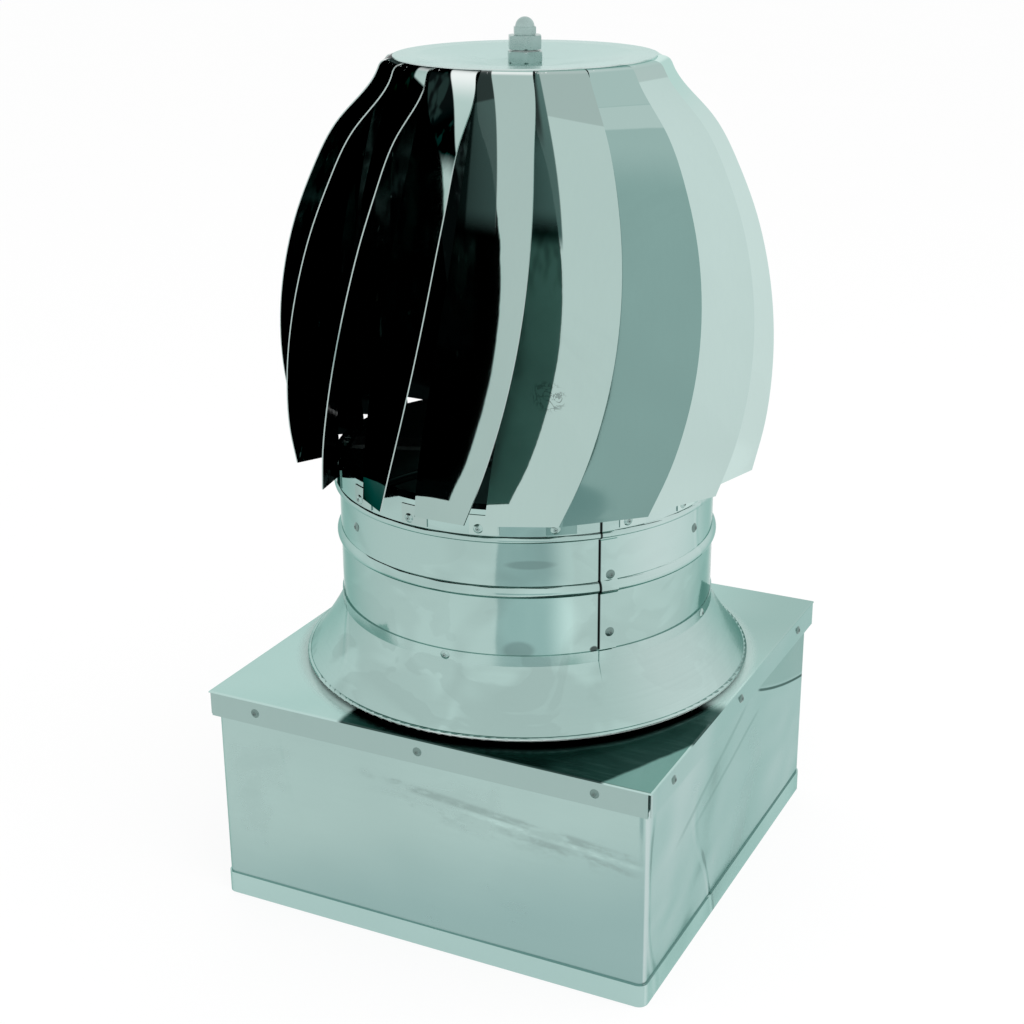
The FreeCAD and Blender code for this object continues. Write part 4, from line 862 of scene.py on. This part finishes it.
class COWL_OT_stage(bpy.types.Operator):
    """Set the floor, the grey card, the lamps and the camera"""
    bl_idname = "cowl.stage"
    bl_label = "Stage"

    def execute(self, context):
        stage = context.scene.cowl_stage
        scene = context.scene
        scene.view_settings.view_transform = "Standard"
        self.set_world(scene)
        self.set_floor(stage)
        self.set_card(stage)
        self.set_lamp("soft_top", (0.9, -0.7, 2.2), 1.6, stage.lamp_power)
        self.set_lamp("soft_side", (1.9, 0.5, 0.9), 1.2, stage.lamp_power * 0.4)
        self.set_camera(stage, scene)
        return {"FINISHED"}

    def set_world(self, scene):
        """An even white light, and a plain white backdrop for whatever sees it."""
        world = bpy.data.worlds.new("studio")
        world.use_nodes = True
        tree = world.node_tree
        tree.nodes.clear()
        output = tree.nodes.new("ShaderNodeOutputWorld")
        light = tree.nodes.new("ShaderNodeBackground")
        seen = tree.nodes.new("ShaderNodeBackground")
        for backdrop in (light, seen):
            backdrop.inputs["Color"].default_value = (1, 1, 1, 1)
            backdrop.inputs["Strength"].default_value = 1.0
        path = tree.nodes.new("ShaderNodeLightPath")
        first = tree.nodes.new("ShaderNodeMath")
        second = tree.nodes.new("ShaderNodeMath")
        first.operation = second.operation = "MAXIMUM"
        mix = tree.nodes.new("ShaderNodeMixShader")
        tree.links.new(path.outputs["Is Camera Ray"], first.inputs[0])
        tree.links.new(path.outputs["Is Glossy Ray"], first.inputs[1])
        tree.links.new(first.outputs[0], second.inputs[0])
        tree.links.new(path.outputs["Is Transmission Ray"], second.inputs[1])
        tree.links.new(second.outputs[0], mix.inputs[0])
        tree.links.new(light.outputs[0], mix.inputs[1])
        tree.links.new(seen.outputs[0], mix.inputs[2])
        tree.links.new(mix.outputs[0], output.inputs["Surface"])
        scene.world = world

    def set_floor(self, stage):
        """A pale floor that keeps the cowl's shadow."""
        finish = Finish("studio_floor")
        tint = finish.noise(finish.place, 3.0, 2.0)
        finish.drive("Base Color", finish.blend(tint, (0.88, 0.88, 0.88), (0.92, 0.92, 0.92)))
        finish.drive("Roughness", 0.8)
        glow = finish.nodes.new("ShaderNodeEmission")
        glow.inputs["Color"].default_value = (1, 1, 1, 1)
        glow.inputs["Strength"].default_value = 1.0
        path = finish.nodes.new("ShaderNodeLightPath")
        camera, glossy, through = (Value(finish, path.outputs[ray]) for ray in (
            "Is Camera Ray", "Is Glossy Ray", "Is Transmission Ray"))
        mix = finish.nodes.new("ShaderNodeMixShader")
        finish.links.new(((camera + glossy + through) * 0.85).socket, mix.inputs[0])
        finish.links.new(finish.shader.outputs["BSDF"], mix.inputs[1])
        finish.links.new(glow.outputs[0], mix.inputs[2])
        finish.links.new(mix.outputs[0], finish.output.inputs["Surface"])
        half = stage.floor_size
        mesh = bmesh.new()
        mesh.faces.new([mesh.verts.new((x * half, y * half, -0.0002))
                        for x, y in ((-1, -1), (1, -1), (1, 1), (-1, 1))])
        object_of("floor", mesh, finish.material)

    def set_card(self, stage):
        """A grey runner on the floor towards the camera, seen only in the metal. It pales to its right."""
        finish = Finish("grey_card")
        tint = finish.noise(finish.place, 7.0, 3.0)
        right = finish.angle() - stage.azimuth + math.pi / 2
        pale = finish.ramp(right, stage.card_right * 0.25, stage.card_right)
        grey = finish.blend(tint, (0.42, 0.52, 0.53), (0.60, 0.68, 0.68))
        finish.drive("Base Color", (0.02, 0.03, 0.03, 1))
        finish.drive("Emission Color", finish.blend(pale, grey, (1.0, 1.0, 1.0)))
        finish.drive("Emission Strength", 1.0)
        finish.drive("Roughness", 0.9)
        mesh = bmesh.new()
        columns = []
        for turn in (stage.card_left, stage.card_left * 0.4, stage.card_right * 0.4, stage.card_right):
            way = stage.azimuth + turn
            columns.append([mesh.verts.new((out * math.sin(way), -out * math.cos(way), 0.001))
                            for out in (0.44, 0.9, 1.4)])
        for left, right in zip(columns, columns[1:]):
            for step in range(len(left) - 1):
                mesh.faces.new([left[step], right[step], right[step + 1], left[step + 1]])
        card = object_of("grey_card", mesh, finish.material)
        card.visible_camera = False
        card.visible_diffuse = False
        card.visible_shadow = False

    def set_lamp(self, name, spot, size, power):
        data = bpy.data.lights.new(name, "AREA")
        data.size = size
        data.energy = power
        lamp = bpy.data.objects.new(name, data)
        lamp.location = spot
        lamp.rotation_mode = "QUATERNION"
        lamp.rotation_quaternion = (Vector(spot) - Vector((0, 0, 0.28))).to_track_quat("Z", "Y")
        lamp.visible_glossy = False
        bpy.context.scene.collection.objects.link(lamp)

    def set_camera(self, stage, scene):
        turn, rise, roll = stage.azimuth, stage.elevation, stage.roll
        back = Vector((math.sin(turn) * math.cos(rise), -math.cos(turn) * math.cos(rise), math.sin(rise)))
        right = Vector((math.cos(turn), math.sin(turn), 0))
        up = back.cross(right)
        across = right * math.cos(roll) + up * math.sin(roll)
        over = up * math.cos(roll) - right * math.sin(roll)
        data = bpy.data.cameras.new("camera")
        data.sensor_width = 36.0
        data.sensor_fit = "HORIZONTAL"
        data.lens = stage.focal_length
        data.clip_start = 0.05
        camera = bpy.data.objects.new("camera", data)
        place = Matrix((across, over, back)).transposed()
        matrix = place.to_4x4()
        matrix.translation = place @ Vector(stage.offset)
        camera.matrix_world = matrix
        scene.collection.objects.link(camera)
        scene.camera = camera


class COWL_PT_panel(bpy.types.Panel):
    """Steps that dress the cowl"""
    bl_idname = "COWL_PT_panel"
    bl_label = "Chimney cowl"
    bl_space_type = "VIEW_3D"
    bl_region_type = "UI"
    bl_category = "Cowl"

    def draw(self, context):
        for operator in OPERATORS:
            self.layout.operator(operator.bl_idname)
        for group in GROUPS:
            settings = getattr(context.scene, group)
            column = self.layout.column()
            for name in settings.bl_rna.properties.keys():
                if name not in ("rna_type", "name"):
                    column.prop(settings, name)


OPERATORS = (COWL_OT_box, COWL_OT_neck, COWL_OT_vanes, COWL_OT_cap, COWL_OT_works,
             COWL_OT_fasteners, COWL_OT_stage)
GROUPS = {"cowl_finishes": CowlFinishes, "cowl_sizes": CowlSizes, "cowl_stage": CowlStage}


def register():
    for kind in (*GROUPS.values(), *OPERATORS, COWL_PT_panel):
        bpy.utils.register_class(kind)
    for name, kind in GROUPS.items():
        setattr(bpy.types.Scene, name, PointerProperty(type=kind))


def unregister():
    for name in GROUPS:
        delattr(bpy.types.Scene, name)
    for kind in reversed((*GROUPS.values(), *OPERATORS, COWL_PT_panel)):
        bpy.utils.unregister_class(kind)


def main():
    register()
    for step in (bpy.ops.cowl.box, bpy.ops.cowl.neck, bpy.ops.cowl.vanes, bpy.ops.cowl.cap,
                 bpy.ops.cowl.works, bpy.ops.cowl.fasteners, bpy.ops.cowl.stage):
        step()


if __name__ == "__main__":
    main()
